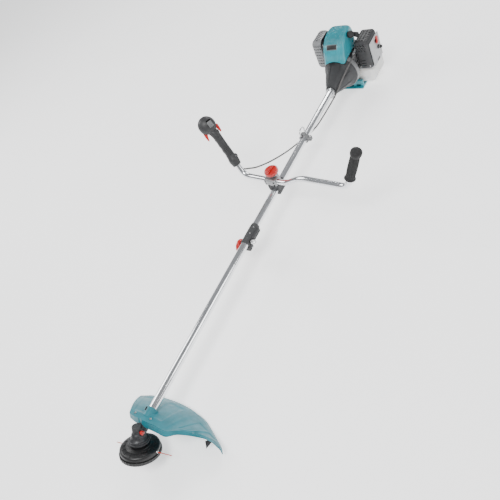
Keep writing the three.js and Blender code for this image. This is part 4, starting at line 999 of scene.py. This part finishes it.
def handle_blank():
    """The handle's outer form: a waisted grip, a swollen head that leans to the fingers, and a pivot boss."""
    rings, sides = 96, 72
    verts = []
    outline = [(50, 15.4), (52, 17), (60, 18.4), (70, 19.9), (78, 19.9), (88, 17.6), (95, 16.7),
               (150, 16.2), (178, 17),
               (190, 18), (202, 20.6)]
    low, high = 50, 273.8

    def radius(z):
        for (z0, r0), (z1, r1) in zip(outline, outline[1:]):
            if z <= z1:
                return r0 + (r1 - r0) * (z - z0) / (z1 - z0)
        return outline[-1][1]

    for i in range(rings + 1):
        z = low + (high - low) * (1 - math.cos(math.pi * i / rings)) / 2
        head = 1 - ((z - 237) / 37) ** 2
        for k in range(sides):
            turn = 2 * math.pi * k / sides
            grip_r = radius(z) if z < 206 else max(0.0, 20.6 - (z - 206) * 1.4)
            wide = 34.5 * math.sqrt(max(head, 0))
            deep = 28.2 * math.sqrt(max(head, 0))
            blend_x = wide * math.cos(turn) + 7
            point_grip = Vector((grip_r * math.cos(turn), grip_r * math.sin(turn), z))
            point_head = Vector((blend_x, deep * math.sin(turn), z))
            share = max(0.0, min(1.0, (z - 200) / 14))
            share = share * share * (3 - 2 * share)
            point = point_grip.lerp(point_head, share) if head > 0 else point_grip
            # Shallow finger hollows in front.
            if 96 < z < 177 and math.cos(turn) > 0:
                point.x -= 0.7 * math.cos(turn) * (1 - math.cos(2 * math.pi * (z - 96) / 27))
            verts.append(point)
    faces = [(i * sides + k, i * sides + (k + 1) % sides, (i + 1) * sides + (k + 1) % sides,
              (i + 1) * sides + k)
             for i in range(rings) for k in range(sides)]
    faces += [tuple(range(sides)), tuple(range(rings * sides, (rings + 1) * sides))]
    blank = piece("handle_blank", verts, faces, HANDLE, "dark", 40)
    across = HANDLE @ at(-15, 0, 84) @ about_x(90)
    boss = lathe("boss", [(0, -12.8), (6.8, -12.8), (8, -11.6), (8, 11.6), (6.8, 12.8), (0, 12.8)],
                 across, "dark", 48)
    return boolean(blank, [boss], "UNION", 40)


def handle_half(side, name, node):
    blank = handle_blank()
    away = 0.15 if side > 0 else -0.15
    corner_a, corner_b = ((-60, away, 0), (60, 60, 300)) if side > 0 else ((-60, -60, 0), (60, away, 300))
    boolean(blank, [block("half", corner_a, corner_b, HANDLE, "dark", 0)], "INTERSECT", 40)
    # The slots for the trigger, the lever and the switch are cut with the near-black hole material, which
    # paints shade on their walls.
    tools = [rod("bar_bore", 11 + GAP, 20, 190.3, HANDLE, "dark", 48, 0),
             block("trigger_slot", (2, -7.5, 148), (48, 7.5, 214), CONTROLS, "painted_hole_shade", 0),
             block("lever_slot", (-34, -6.3, 158), (-10.9, 6.3, 203), CONTROLS, "painted_hole_shade", 0)]
    if side > 0:
        tools.append(block("switch_room", (-15.5, 11, 197), (3, 60, 226), CONTROLS, "painted_hole_shade", 0))
    # Grip texture: rows of small pressed dashes on the palm side, their walls in near-black painted shade.
    for row in range(9):
        for column in range(3):
            turn = math.radians(side * (68 + column * 26) + (row % 2) * 6 * side)
            place = HANDLE @ Matrix.Rotation(turn, 4, "Z") @ at(17.2, 0, 100 + row * 6)
            tools.append(block("dash", (-1.0, -2.6, -1), (3, 2.6, 1), place, "painted_hole_shade", 0))
    boolean(blank, tools, angle=38)
    boss = HANDLE @ at(-15, side * 12.6, 84) @ about_x(-90 * side)
    pivot = screw("handle_screw", (0, 0, 0), boss, 3.6, 1.8)
    fit(joined(name, [blank, pivot]), "handlebars", "dark_plastic", node)


def trigger():
    """A long curved trigger with a finger hollow, ribs on its face and a rounded tip."""
    outline = [(12, 212), (23, 212)]
    outline += [tuple((1 - t) ** 2 * a + 2 * t * (1 - t) * b + t * t * c
                      for a, b, c in zip((23, 212), (36, 205), (38, 186)))
                      for t in (k / 8 for k in range(1, 9))]
    outline += [tuple((1 - t) ** 2 * a + 2 * t * (1 - t) * b + t * t * c
                      for a, b, c in zip((38, 186), (40, 168), (35, 156)))
                      for t in (k / 8 for k in range(1, 9))]
    outline += [(32, 160), (27, 176), (20, 192), (12, 200)]
    place = CONTROLS @ about_x(90)
    lever = plate("lever", outline, -6.5, 6.5, place, "red", 1.6, 4)
    grooves = []
    for i in range(6):
        z = 164 + 5.4 * i
        x = 37.6 + 1.1 * math.sin(math.pi * (z - 156) / 40)
        grooves.append(block("groove", (x - 0.4, -5, z - 0.8), (x + 5, 5, z + 0.8), CONTROLS, "red", 0))
    boolean(lever, grooves, angle=30)
    fit(lever, "trigger", "red_plastic", "throttle_trigger")
    outline = [(-13.2, 201), (-20, 201), (-26, 197), (-30, 192), (-29.2, 178), (-27.5, 164), (-25, 161.4),
               (-22, 161), (-18.5, 176), (-15.5, 190)]
    lever = plate("lock_off_moulded", outline, -5.5, 5.5, place, "red", 1.2, 3)
    fit(lever, "lockout", "red_plastic", "lock_off_lever")


def stop_switch():
    """A square slide switch: ribs for the thumb and a red index on its side."""
    body = pebble("switch", (-15, 12.5, 197.5), (2.5, 40, 220.5), 2.4, CONTROLS, "grey", 18)
    ribs = [block("thumb_rib", (-12.5, 39.2, 200.5 + 3.6 * i), (0, 40, 202.3 + 3.6 * i), CONTROLS, "grey",
                  0.3) for i in range(5)]
    index = block("index", (-15, 28, 206), (-14.7, 37, 212), CONTROLS, "red", 0.1)
    fit(joined("stop_switch_ribbed", [body, *ribs, index]), "switch", "dark_plastic", "stop_switch")


CABLE_ROUTE = [
    (-162, 1050, 77), (-157, 1048, 64), (-148, 1049, 54), (-132, 1057, 49), (-104, 1075, 41),
    (-76, 1130, 20), (-52, 1208, -5), (-33, 1275, -19), (-14, 1322, -24), (6, 1375, -22),
    (17, 1425, -15), (21, 1485, -13), (24, 1556, -10), (37, 1596, 14), (53, 1640, 42),
    (63, 1682, 58), (67, 1714, 63), (66, 1730, 62),
]


def throttle_cable():
    """A sheathed cable held at both ends, with a rubber boot at the handle and an adjuster at the engine."""
    route = spline(CABLE_ROUTE, 9)
    sheath = sweep("sheath", route, 3.1, SHAFT, "cable", 16,
                   shape=lambda share, turn: 1 + 0.03 * math.sin(700 * share))
    boot = sweep("boot", route[:16], 3.2, SHAFT, "rubber", 18, shape=lambda share, turn: 1 - 0.14 * share)
    run = (route[-1] - route[-10]).normalized()
    turn = run.to_track_quat("Z", "Y").to_matrix().to_4x4()
    threads = [(3.2 - 0.3 * (k % 2), -13.4 + k * 0.8) for k in range(15)]
    outline = [(0, -15), (3.1, -15), (3.2, -14), *threads, (3.2, -1), (2.9, 0), (0, 0)]
    barrel = lathe("adjuster", outline, SHAFT @ Matrix.Translation(route[-1]) @ turn, "screw", 36)
    clips = []
    for index in (52, 90):
        run = route[index + 1] - route[index - 1]
        turn = run.to_track_quat("Z", "Y").to_matrix().to_4x4()
        place = SHAFT @ Matrix.Translation(route[index]) @ turn
        clips.append(sleeve("tie", 3.2, 3.0, -2, 2, place, "black", 28, 0.2))
    whole = joined("throttle_cable_sheathed", [sheath, boot, barrel, *clips])
    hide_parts("throttle_cable")
    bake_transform(whole)


# ---- Harness clamp ----


def harness():
    low, high = RING_AT - 9, RING_AT + 9
    band = lathe("band", [(0, low), (19.2, low), (20, low + 1), (20, high - 1), (19.2, high), (0, high)],
                 AXIS, "grey", 56)
    ears = pebble("ears", (14, low, -9), (32, high, 9), 3.5, SHAFT, "grey", 18)
    saddle = pebble("saddle", (-9, low, 10), (9, high, 25), 2.2, SHAFT, "grey", 16)
    boolean(band, [ears, saddle], "UNION")
    tools = [rod("bore", TUBE_RADIUS + GAP, low - 9, high + 9, AXIS, "grey", 48, 0),
             block("split", (10, low - 9, -1.2), (50, high + 9, 1.2), SHAFT, "grey", 0),
             rod("eye_room", 3.2, RING_AT - 30, RING_AT + 30, SHAFT @ at(0, 0, 20.5) @ ALONG,
                 "grey", 28, 0)]
    # The windows' walls take the near-black hole material: painted shade.
    tools += [rod("window", 3.0, 12, 22, SHAFT @ at(0, RING_AT, 0) @ about_y(turn), "painted_hole_shade", 24, 0)
              for turn in (-62, -100, -138)]
    boolean(band, tools)
    bolt = screw("harness_bolt", (25.5, RING_AT, 8.6), SHAFT, 4.2, 2.8, True)
    nut = rod("nut", 4.4, -12, -8.4, SHAFT @ at(25.5, RING_AT, 0), "screw", 6, 0.4)
    fit(joined("harness_clamp_moulded", [band, bolt, nut]), "engine_unit", "grey_plastic", "harness_clamp")
    loop = [(0, 0, 20.5), (11, 0, 20.8), (17.5, 0, 27), (18.5, 0, 37), (12, 0, 46), (0, 0, 49),
            (-12, 0, 46), (-18.5, 0, 37), (-17.5, 0, 27), (-11, 0, 20.8)]
    ring = sweep("harness_loop", spline(loop, 8, True), 2.55, SHAFT @ at(0, RING_AT, 0) @ about_z(90),
                 "screw", 20, True)
    fit(ring, "engine_unit", "tube_chrome", "harness_eyelet")


# ---- Clutch housing and crankcase ----


def clutch_end():
    ring = sleeve("clamp_band", 19, TUBE_RADIUS + GAP, 1556, 1569, AXIS, "steel", 72, 0.8)
    ears = pebble("ears", (-7, 1556, -29), (7, 1569, -16), 1.6, SHAFT, "steel", 14)
    boolean(ring, [ears], "UNION")
    boolean(ring, [block("slit", (-1, 1551, -40), (1, 1576, -10), SHAFT, "steel", 0)])
    bolt = screw("ring_bolt", (0, 0, 6.6), SHAFT @ at(0, 1562.5, -24) @ ACROSS, 3.2, 2.2, True)
    fit(joined("tube_clamp_ring_polished", [ring, bolt]), "engine_unit", "tube_chrome", "tube_clamp_ring")
    cone = lathe("cone", [
        (14.3, 1570), (23.4, 1570), (24, 1570.8), (24.6, 1576), (26.6, 1581), (29, 1587), (37.6, 1609),
        (38.6, 1611), (51.4, 1643.6),
        (52.2, 1647), (59.4, 1666.6), (61, 1669), (70.8, 1681.4), (73.4, 1685), (74, 1687),
        (74, 1689.4), (73.4, 1690),
        (44, 1690), (44, 1640), (41, 1624), (18, 1608), (14.3, 1604)][::-1], AXIS, "dark_soft", 144, 25)
    ribs = []
    for i in range(8):
        turn = Matrix.Rotation(2 * math.pi * (i + 0.5) / 8, 4, "Z")
        outline = [(30, 1590), (31.4, 1590), (52.8, 1642), (60, 1664), (61, 1668.4), (57, 1664)]
        ribs.append(plate("rib", outline, -1.4, 1.4, AXIS @ turn @ about_x(90), "dark_soft", 0.5))
    # The screw wells are cut with the near-black hole material: painted shade in them.
    holes = []
    for turn in (62, 98, 152, 208, 262, 318):
        slope = AXIS @ about_z(turn) @ at(46, 0, 1622) @ about_y(68)
        holes.append(rod("screw_well", 4.2, 0, 16, slope, "painted_hole_shade", 32, 0))
    boolean(cone, holes, angle=25)
    fit(joined("clutch_housing_ribbed", [cone, *ribs]), "engine_unit", "dark_plastic", "clutch_housing")
    shroud = lathe("shroud", [
        (70, 1690.4), (75.4, 1690.4), (76, 1691), (76.4, 1700), (77, 1709), (76.4, 1712), (66, 1716.6),
        (60, 1720), (49, 1725.4),
        (48, 1727), (46, 1788), (10, 1788), (10, 1780), (32, 1780), (32, 1734), (12, 1734), (12, 1714),
        (70, 1714)][::-1],
        AXIS, "cast", 120, 28)
    deck = pebble("deck", (-30, ENGINE_AT - 28, 30), (30, ENGINE_AT + 28, 58), 5, SHAFT, "cast", 16)
    boolean(deck, [rod("chamber", 32.2, 1734, 1780, AXIS, "cast", 48, 0)])
    boolean(shroud, [deck], "UNION")
    boolean(shroud, [rod("throat", 20.5, 10, 90, SHAFT @ at(0, ENGINE_AT, 0), "cast", 48, 0)], angle=28)
    fins = [plate("fin", [(46, 1730), (52, 1733), (52, 1782), (46, 1785)], -1.3, 1.3,
                  AXIS @ about_z(turn) @ about_x(90), "cast", 0.4)
            for turn in (-15, 5, 175, 195)]
    bolts = [screw("case_bolt", (0, 0, 0), AXIS @ about_z(turn) @ at(68, 0, 1715.4), 3.4, 2.4, True)
             for turn in range(20, 380, 60)]
    fit(joined("crankcase_cast", [shroud, *fins, *bolts]), "engine_unit", "cast_alloy", "crankcase")


# ---- Engine covers ----


def superposed(low, high, pitch_a, pitch_b, stagger):
    """Rows of hole centres between two corners in a plane, every other row shifted half a pitch."""
    spots = []
    rows = int((high[1] - low[1]) / pitch_b + 1e-6) + 1
    for row in range(rows):
        shift = pitch_a / 2 if stagger and row % 2 else 0
        a = low[0] + shift
        while a <= high[0] + 1e-6:
            spots.append((a, low[1] + row * pitch_b))
            a += pitch_a
    return spots


def capsule(name, length, radius, matrix, depth=12):
    """A cutter for a slot with round ends, standing on z, made in the near-black hole material so that it
    paints shade on the walls it cuts.
    """
    outline = []
    half = max(length / 2 - radius, 0.01)
    for k in range(9):
        turn = -math.pi / 2 + math.pi * k / 8
        outline.append((half + radius * math.cos(turn), radius * math.sin(turn)))
    for k in range(9):
        turn = math.pi / 2 + math.pi * k / 8
        outline.append((-half + radius * math.cos(turn), radius * math.sin(turn)))
    return plate(name, outline, -depth, depth, matrix, "painted_hole_shade", 0)


def muffler_cover():
    """A pressed cover with staggered round holes on its shoulder and slots lower down its side."""
    low, high = (-111, 1698, 14), (-52, 1804, 150)

    def band(point, outward):
        """A plain band stands proud between the holes and the slots."""
        level = plateau(point.z, 84, 96, 3)
        return point - Vector((outward.x, outward.y, 0)) * (0.9 * (1 - level)
                                                            if abs(outward.z) < 0.6 else 0.6)

    outer = pebble("cover", low, high, 24, SHAFT, "cover_grey", 64, band)
    inner = pebble("inner", (-106.6, 1702.4, 18.4), (-40, 1799.6, 145.6), 22, SHAFT, "cover_grey", 24)
    boolean(outer, [inner])
    boolean(outer, [block("engine_side", (-51.9, 1680, 0), (-20, 1820, 160), SHAFT, "cover_grey", 0),
                    rod("shroud_room", 78.5, 1650, 1722, AXIS, "cover_grey", 72, 0)])
    tools = []
    for a, b in superposed((1716, 104), (1788, 134), 11, 9, True):
        tools.append(capsule("hole", 6.4, 2.6, SHAFT @ at(-109, a, b) @ about_y(-90)))
    for a, b in superposed((1716, -98), (1788, -66), 11, 9, True):
        tools.append(capsule("hole", 6.4, 2.6, SHAFT @ at(b, a, 149)))
    for a, b in superposed((1716, 28), (1790, 74), 11, 15, False):
        tools.append(capsule("slot", 11, 2.0, SHAFT @ at(-109, a, b) @ about_y(-90)))
    for b in range(8):
        for c in range(4):
            spot = (-98 + c * 10 + 5 * (b % 2), 1702, 32 + 14 * b)
            if spot[0] < -62:
                tools.append(capsule("hole", 7, 2.3, SHAFT @ at(*spot) @ about_x(90), 7))
    grouped = joined("holes", tools)
    boolean(outer, [grouped], angle=40)
    bolts = [screw("cover_bolt", (0, 0, 0), SHAFT @ at(-110.6, s, z) @ about_y(-90), 3.4, 0.4) for s,
             z in ((1726, 90), (1782, 90))]
    fit(joined("muffler_cover_perforated", [outer, *bolts]), "engine_unit", "grey_plastic", "muffler_cover")


COVER_PROFILE = [(1652, 66), (1660, 84), (1668, 108), (1680, 130), (1696, 147), (1716, 159),
                 (1738, 166), (1762, 168.6),
                 (1784, 165.5), (1800, 158), (1808, 146), (1810, 128), (1808, 96), (1806, 66)]


def cover_point(share):
    """A point of the side outline of the crown over the cylinder, at a share of the way along it."""
    place = share * (len(COVER_PROFILE) - 1)
    index = min(int(place), len(COVER_PROFILE) - 2)
    t = place - index
    points = [Vector((*COVER_PROFILE[max(0, min(len(COVER_PROFILE) - 1, index + k))], 0))
              for k in (-1, 0, 1, 2)]
    p0, p1, p2, p3 = points
    spot = smooth_point(p0, p1, p2, p3, t)
    return spot.x, spot.y


def engine_cover():
    """The teal crown: pressed diamonds fan across its top, a framed plate and two ribs stand on its side."""
    rings, sides = 150, 96
    centre_s, centre_z = 1738, 70
    verts = []
    for i in range(rings + 1):
        share = i / rings
        s, z = cover_point(share)
        for k in range(sides + 1):
            side = 2 * k / sides - 1
            # The section across is flat in the middle and turns down at the flanks.
            shoulder = abs(side) ** 5
            x = 47.4 * (math.sin(side * math.pi / 2) * 0.35 + side * 0.65)
            drop = 1 - 0.1 * shoulder * 1.6
            run = Vector((0, s - centre_s, z - centre_z))
            out = run.normalized()
            point = Vector((x, centre_s, centre_z)) + run * drop
            # Diamonds fan out from the front of the crown.
            fan_a = math.atan2(x, 120 - (s - 1700) * 0.35) * 30
            fan_b = (s - 1670) * 0.085
            diamond = abs(math.sin(math.pi * (fan_a + fan_b))) * abs(math.sin(math.pi * (fan_a - fan_b)))
            field = plateau(s, 1690, 1790, 8) * plateau(side, -0.82, 0.82, 0.12) * plateau(z, 138, 400, 8)
            ribs = sum(bell(x, place, 1.8) for place in (-26, 22, 34)) * plateau(z, 86, 138, 8) * (s < 1740)
            point -= out * (2.4 * min(1, diamond * 1.5) * field) - out * (1.0 * ribs) + out * 1.0
            verts.append(point)
    faces = [(i * (sides + 1) + k, (i + 1) * (sides + 1) + k, (i + 1) * (sides + 1) + k + 1,
              i * (sides + 1) + k + 1)
             for i in range(rings) for k in range(sides)]
    # The two flanks are flat walls, closed down to the lower edge.
    flank_rows = 6
    for edge in (0, sides):
        start = len(verts)
        sign = -1 if edge == 0 else 1
        for i in range(rings + 1):
            top = verts[i * (sides + 1) + edge]
            base = Vector((top.x, centre_s + (top.y - centre_s) * 0.55, 70))
            for row in range(1, flank_rows + 1):
                spot = top.lerp(base, row / flank_rows)
                spot.x += sign * 0.5 * math.sin(math.pi * row / flank_rows)
                verts.append(spot)
        for i in range(rings):
            for row in range(flank_rows):
                upper = [i * (sides + 1) + edge,
                         (i + 1) * (sides + 1) + edge] if row == 0 else [start + i * flank_rows + row - 1,
                                 start + (i + 1) * flank_rows + row - 1]
                faces.append((upper[0], upper[1], start + (i + 1) * flank_rows + row,
                              start + i * flank_rows + row))
    crown = piece("crown", verts, faces, SHAFT, "engine_teal", 50)
    wall = crown.modifiers.new("wall", "SOLIDIFY")
    wall.thickness = 2.4 * MM
    middle = crown.data.polygons[(rings // 2) * sides + sides // 2]
    wall.offset = -1 if middle.normal.z > 0 else 1
    settle(crown)
    round_off(crown, 50)
    boolean(crown, [rod("shroud_room", 79, 1600, 1722, AXIS, "engine_teal", 96, 0),
                    block("exhaust_room", (-60, ENGINE_AT - 15, 60), (-40, ENGINE_AT + 15, 95), SHAFT,
                          "engine_teal", 0),
                    lathe("boot_room", [(17.5 * math.sin(math.pi * k / 16),
                                         -17.5 * math.cos(math.pi * k / 16)) for k in range(17)],
                          SHAFT @ at(*PLUG_BOOT), "engine_teal", 40)], angle=50)
    # A plain framed plate lies on the cover's slope.
    s, z = 1684, 132
    slope = SHAFT @ at(-2, s, z) @ about_x(50)
    frame_part = block("plate_frame", (-24, -11, -2), (24, 11, 1.5), slope, "grey", 1.2, 3)
    field = block("plate_field", (-21.6, -8.8, 0), (21.6, 8.8, 1.9), slope, "black", 0.3)
    lip = block("plate_lip", (-26, -15, -2), (26, -12, 2.0), slope, "engine_teal", 0.8)
    fit(joined("engine_cover_embossed", [crown, frame_part, field, lip]), "engine_unit", "teal_plastic",
        "engine_cover")


def plug_boot():
    ball = lathe("ball", [(15 * math.sin(math.pi * k / 24), -15 * math.cos(math.pi * k / 24))
                          for k in range(25)],
                 SHAFT @ at(*PLUG_BOOT), "rubber", 56,
                 ripple=lambda turn, k: 1 - 0.02 * (k % 4 == 0))
    lean = about_z(70) @ about_x(-90)
    neck = lathe("neck", [(0, -15), (10.8, -15), (11, -13), (10.2, -10), (10.6, -9), (9.8, -4), (10.2, -3),
                          (9.4, 2), (9.8, 3), (9, 8), (9, 14), (8, 15), (0, 15)],
                 SHAFT @ at(70, 1766, 132) @ lean, "rubber", 48)
    boolean(ball, [neck], "UNION", 40)
    fit(ball, "engine_unit", "rubber", "plug_boot")


def filter_cover():
    """The air filter's cover: slanted holes near its top, a square recess drawn as a near-black block of
    painted shade, and a paler panel outside.
    """
    outer = pebble("filter_box", (62, 1737, -24), (129, 1842, 108), 16, SHAFT, "dark", 44)
    inner = pebble("inner", (50, 1741.4, -19.6), (124.6, 1837.6, 103.6), 13, SHAFT, "dark", 16)
    boolean(outer, [inner])
    tools = [block("engine_side", (40, 1700, -60), (62.2, 1900, 130), SHAFT, "dark", 0)]
    for row in range(4):
        for column in range(7):
            s = 1752 + column * 12 + 4 * (row % 2)
            place = SHAFT @ at(74 + row * 14, s, 107) @ about_z(35)
            tools.append(capsule("hole", 9.4, 2.3, place, 8))
    for row in range(3):
        for column in range(4):
            place = SHAFT @ at(72 + column * 12 + 5 * (row % 2), 1738,
                               92 - row * 12) @ about_x(90) @ about_z(-35)
            tools.append(capsule("hole", 8.6, 2.2, place, 6))
    for row in range(3):
        tools.append(capsule("slot", 20, 1.8, SHAFT @ at(92, 1738, 20 - row * 12) @ about_x(90), 2.4))
    cutter = joined("cutter", tools)
    boolean(outer, [cutter], angle=40)
    screws = [screw("filter_screw", (0, 0, 0), SHAFT @ at(x, 1737.4, z) @ about_x(90), 3.0, 0.4) for x,
              z in ((74, -8), (116, -8))]
    fit(joined("filter_cover_vented", [outer, *screws]), "engine_unit", "dark_plastic", "filter_cover")

    def panel_warp(point, outward):
        """Two long ribs and a pressed field on the outer face."""
        if outward.x < 0.5:
            return point
        field = plateau(point.y, 1756, 1830, 5) * plateau(point.z, -6, 78, 5)
        ribs = sum(bell(point.y, s, 2.2) for s in (1770, 1784)) * plateau(point.z, 0, 72, 6)
        return point - Vector((1.2 * field + 0.3 - 1.3 * ribs * field, 0, 0))

    panel = pebble("side_panel", (129.3, 1746, -18), (136, 1840, 90), 3.0, SHAFT, "pale", 88, panel_warp)
    boolean(panel, [rod("primer_room", 9.6, 120, 140, SHAFT @ at(*PRIMER) @ ACROSS, "pale", 48, 0)])
    # A thin near-black block fills the square recess: painted shade.
    window = block("recess", (134.0, 1792, 62), (134.9, 1822, 84), SHAFT, "painted_hole_shade", 0.3)
    latch = pebble("latch", (131, 1776, -17), (135.8, 1806, -6), 2, SHAFT, "black", 14)
    fit(joined("side_panel_ribbed", [panel, window, latch]), "engine_unit", "pale_plastic",
        "filter_side_panel")
    place = SHAFT @ at(0, 1803, 62)
    hub = lathe("hub", [(0, 136.4), (6.6, 136.4), (7, 137), (7, 141.2), (6.2, 142), (0, 142)],
                place @ ACROSS, "red", 40)
    lever = pebble("lever", (137.5, -4, -2), (144.5, 9, 27), 2.6, place, "red", 16,
                   lambda p, out: Vector((p.x, p.y * (0.75 + 0.25 * p.z / 27), p.z)))
    ridges = [block("ridge", (144.0, -2, 17 + 2.6 * k), (144.9, 7, 18.2 + 2.6 * k), place, "red", 0.3)
              for k in range(3)]
    fit(joined("choke_lever_moulded", [hub, lever, *ridges]), "choke", "red_plastic", "choke_lever")
    bulb = lathe("primer_dome",
                 [(0, 136.4), (8.4, 136.4), (9, 137), (9, 141.6), (8.4, 142.2), (7.6, 143), (7.5, 145.4),
                                 (6.9, 149), (5.6, 151.4), (3.4, 152.7), (0, 153)],
                                 SHAFT @ at(*PRIMER) @ ACROSS, "black", 64)
    base = sleeve("primer_base", 9.0, 7.7, 141.2, 143, SHAFT @ at(*PRIMER) @ ACROSS, "screw", 56, 0.3)
    fit(joined("primer_bulb_moulded", [bulb, base]), "primer", "black_plastic", "primer_bulb")


# ---- Tank, stand and starter ----


def fuel():
    def seam(point, outward):
        """A moulding seam runs round the tank, and its flanks are pressed in a little."""
        ridge = bell(point.z, -66, 1.2) * (abs(outward.z) < 0.5)
        press = 1.6 * plateau(point.x, -44, 84, 12) * plateau(point.z, -92, -72, 6) * (outward.y < -0.5)
        return point + outward * (0.1 * ridge - 0.6) - outward * press

    shell = pebble("tank", (-74, 1750, -104), (116, 1882, -26), 20, SHAFT, "tank", 60, seam)
    inner = pebble("inner", (-70, 1754, -100), (112, 1878, -30), 18, SHAFT, "tank", 20)
    neck_place = SHAFT @ at(20, 0, -64) @ ALONG
    neck = sleeve("neck", 20.8, 16, 1878, 1892.8, neck_place, "tank", 56, 0.6)
    boolean(inner, [rod("crank_side", 66, 1700, 1900, AXIS, "tank", 48, 0)])
    boolean(shell, [inner, rod("crank_room", 62, 1700, 1800, AXIS, "tank", 64, 0),
                    rod("starter_room", 59, 1780, 1862, AXIS, "tank", 64, 0),
                    rod("filler", 16, 1860, 1900, neck_place, "tank", 48, 0)])
    boolean(shell, [neck], "UNION")
    fit(shell, "engine_unit", "tank_plastic", "fuel_tank")
    flutes = 18
    lid = lathe("lid", [(0, 1893.4), (24.2, 1893.4), (25, 1894.2), (25, 1901), (24, 1902.6), (22, 1903),
                        (0, 1903)], neck_place, "black", 144, 30,
                lambda turn, k: 1 - 0.035 * (k in (1, 2, 3)) * (math.cos(flutes * turn) > 0.35))
    plug = rod("plug", 14.8, 1880, 1894, neck_place, "black", 40)
    ridge = pebble("ridge", (-2, 1902, -68), (42, 1909, -60), 2.6, SHAFT, "black", 18)
    fit(joined("fuel_cap_fluted", [lid, plug, ridge]), "tank_cap", "black_plastic", "fuel_cap")


def tank_stand():
    low = -AXIS_HEIGHT
    sole = pebble("sole", (-58, FOOT_AT - 16, low), (62, FOOT_AT + 46, low + 6), 2.4, SHAFT,
                  "engine_teal", 26)
    wall = pebble("wall", (-58, FOOT_AT - 6, low + 2), (62, FOOT_AT + 4, -77.5), 3, SHAFT,
                  "engine_teal", 26)
    shelf = block("shelf", (-58, FOOT_AT - 2, low + 3), (62, FOOT_AT + 44, low + 9), SHAFT,
                  "engine_teal", 0.8)
    windows = [block("window", (x, FOOT_AT - 9, -108), (x + 22, FOOT_AT + 8, -98), SHAFT, "engine_teal",
                     0) for x in (-44, -8, 28)]
    boolean(sole, [wall, shelf], "UNION")
    boolean(sole, [*windows, rod("crank_room", 78.2, 1700, 1735, SHAFT @ ALONG, "engine_teal", 64, 0)])
    pads = [block("pad", (x, FOOT_AT - 13, low + 0.02), (x + 22, FOOT_AT + 42, low + 1.2), SHAFT, "rubber",
                  0.4) for x in (-52, 34)]
    bolts = [screw("stand_bolt", (x, FOOT_AT + 24, low + 8.6), SHAFT, 3.6, 2.0, True) for x in (-46, 50)]
    fit(joined("tank_stand_moulded", [sole, *pads, *bolts]), "engine_unit", "teal_plastic", "tank_stand")


def starter():
    shell = lathe("starter_shell", [
        (0, 1788.4), (53, 1788.4), (54, 1789), (57, 1794.4), (56.8, 1800), (55.4, 1846), (53.6, 1851),
        (46, 1857.4), (40, 1858),
        (38.6, 1856.4), (20, 1856.4), (18.6, 1858), (0, 1858)], AXIS, "dark", 128, 28)
    # The rope hole is cut with the near-black hole material: painted shade in it.
    tools = [rod("hollow", 42, 1798, 1842, AXIS, "dark", 56, 0),
             rod("opening", 14, 1780, 1802, AXIS, "dark", 32, 0),
             rod("rope_hole", 4, -90, -20, SHAFT @ at(*ROPE_HOLE) @ ACROSS, "painted_hole_shade", 28, 0)]
    count = 14
    for i in range(count):
        place = AXIS @ Matrix.Rotation(2 * math.pi * i / count, 4, "Z") @ at(30, 0, 1857)
        tools.append(capsule("vent", 15, 2.2, place, 4))
    boolean(shell, [joined("cutter", tools)], angle=30)
    bolts = [screw("starter_bolt", (0, 0, 0), AXIS @ about_z(turn) @ at(46.5, 0, 1856.6), 3.2, 1.2)
             for turn in (30, 120, 210, 300)]
    fit(joined("starter_case_vented", [shell, *bolts]), "engine_unit", "dark_plastic", "starter_case")

    def waist(point, outward):
        squeeze = 1 - 0.14 * bell(point.y, 1830, 9)
        return Vector((point.x, point.y, 24 + (point.z - 24) * squeeze))

    bar = pebble("pull_bar", (-78, 1808, 17), (-65, 1852, 31), 5.6, SHAFT, "black", 22, waist)
    stem = lathe("stem", [(0, -67), (5.2, -67), (5.9, -66), (5.9, -60), (5, -58.6), (0, -58.6)],
                 SHAFT @ at(*ROPE_HOLE) @ ACROSS, "black", 36)
    fit(joined("starter_handle_moulded", [bar, stem]), "starter_grip", "black_plastic", "starter_handle")
    route = [(-30 - k * 0.5, 1830, 24) for k in range(60)]
    rope = sweep("starter_rope", route, 1.8, SHAFT, "rope", 10)
    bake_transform(rope)


# ---- CAD nodes that stay: each is given one finish in place of its own materials ----

KEPT = {
    "steel": ["lower_drive_shaft", "upper_drive_shaft", "bevel_pinion", "bevel_gear", "output_bearing",
              "output_shaft",
              "bump_spring", "clutch_drum", "crankshaft", "muffler"],
    "cast": ["flywheel", "cylinder", "piston", "carburettor"],
    "black": ["spool", "starter_reel"],
}


def kept_nodes():
    for material, names in KEPT.items():
        for name in names:
            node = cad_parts[name]
            node.data.materials.clear()
            node.data.materials.append(look[material])


# ---- The scene ----

camera()
floor()
lights()
tubes()
gear_case()
cutting_head()
guard()
coupler()
bar_clamp()
bar_knob()
handlebar()
hand_grip()
handle_half(1, "handle_left_moulded", "throttle_handle_left")
handle_half(-1, "handle_right_moulded", "throttle_handle_right")
trigger()
stop_switch()
throttle_cable()
harness()
clutch_end()
muffler_cover()
engine_cover()
plug_boot()
filter_cover()
fuel()
tank_stand()
starter()
kept_nodes()
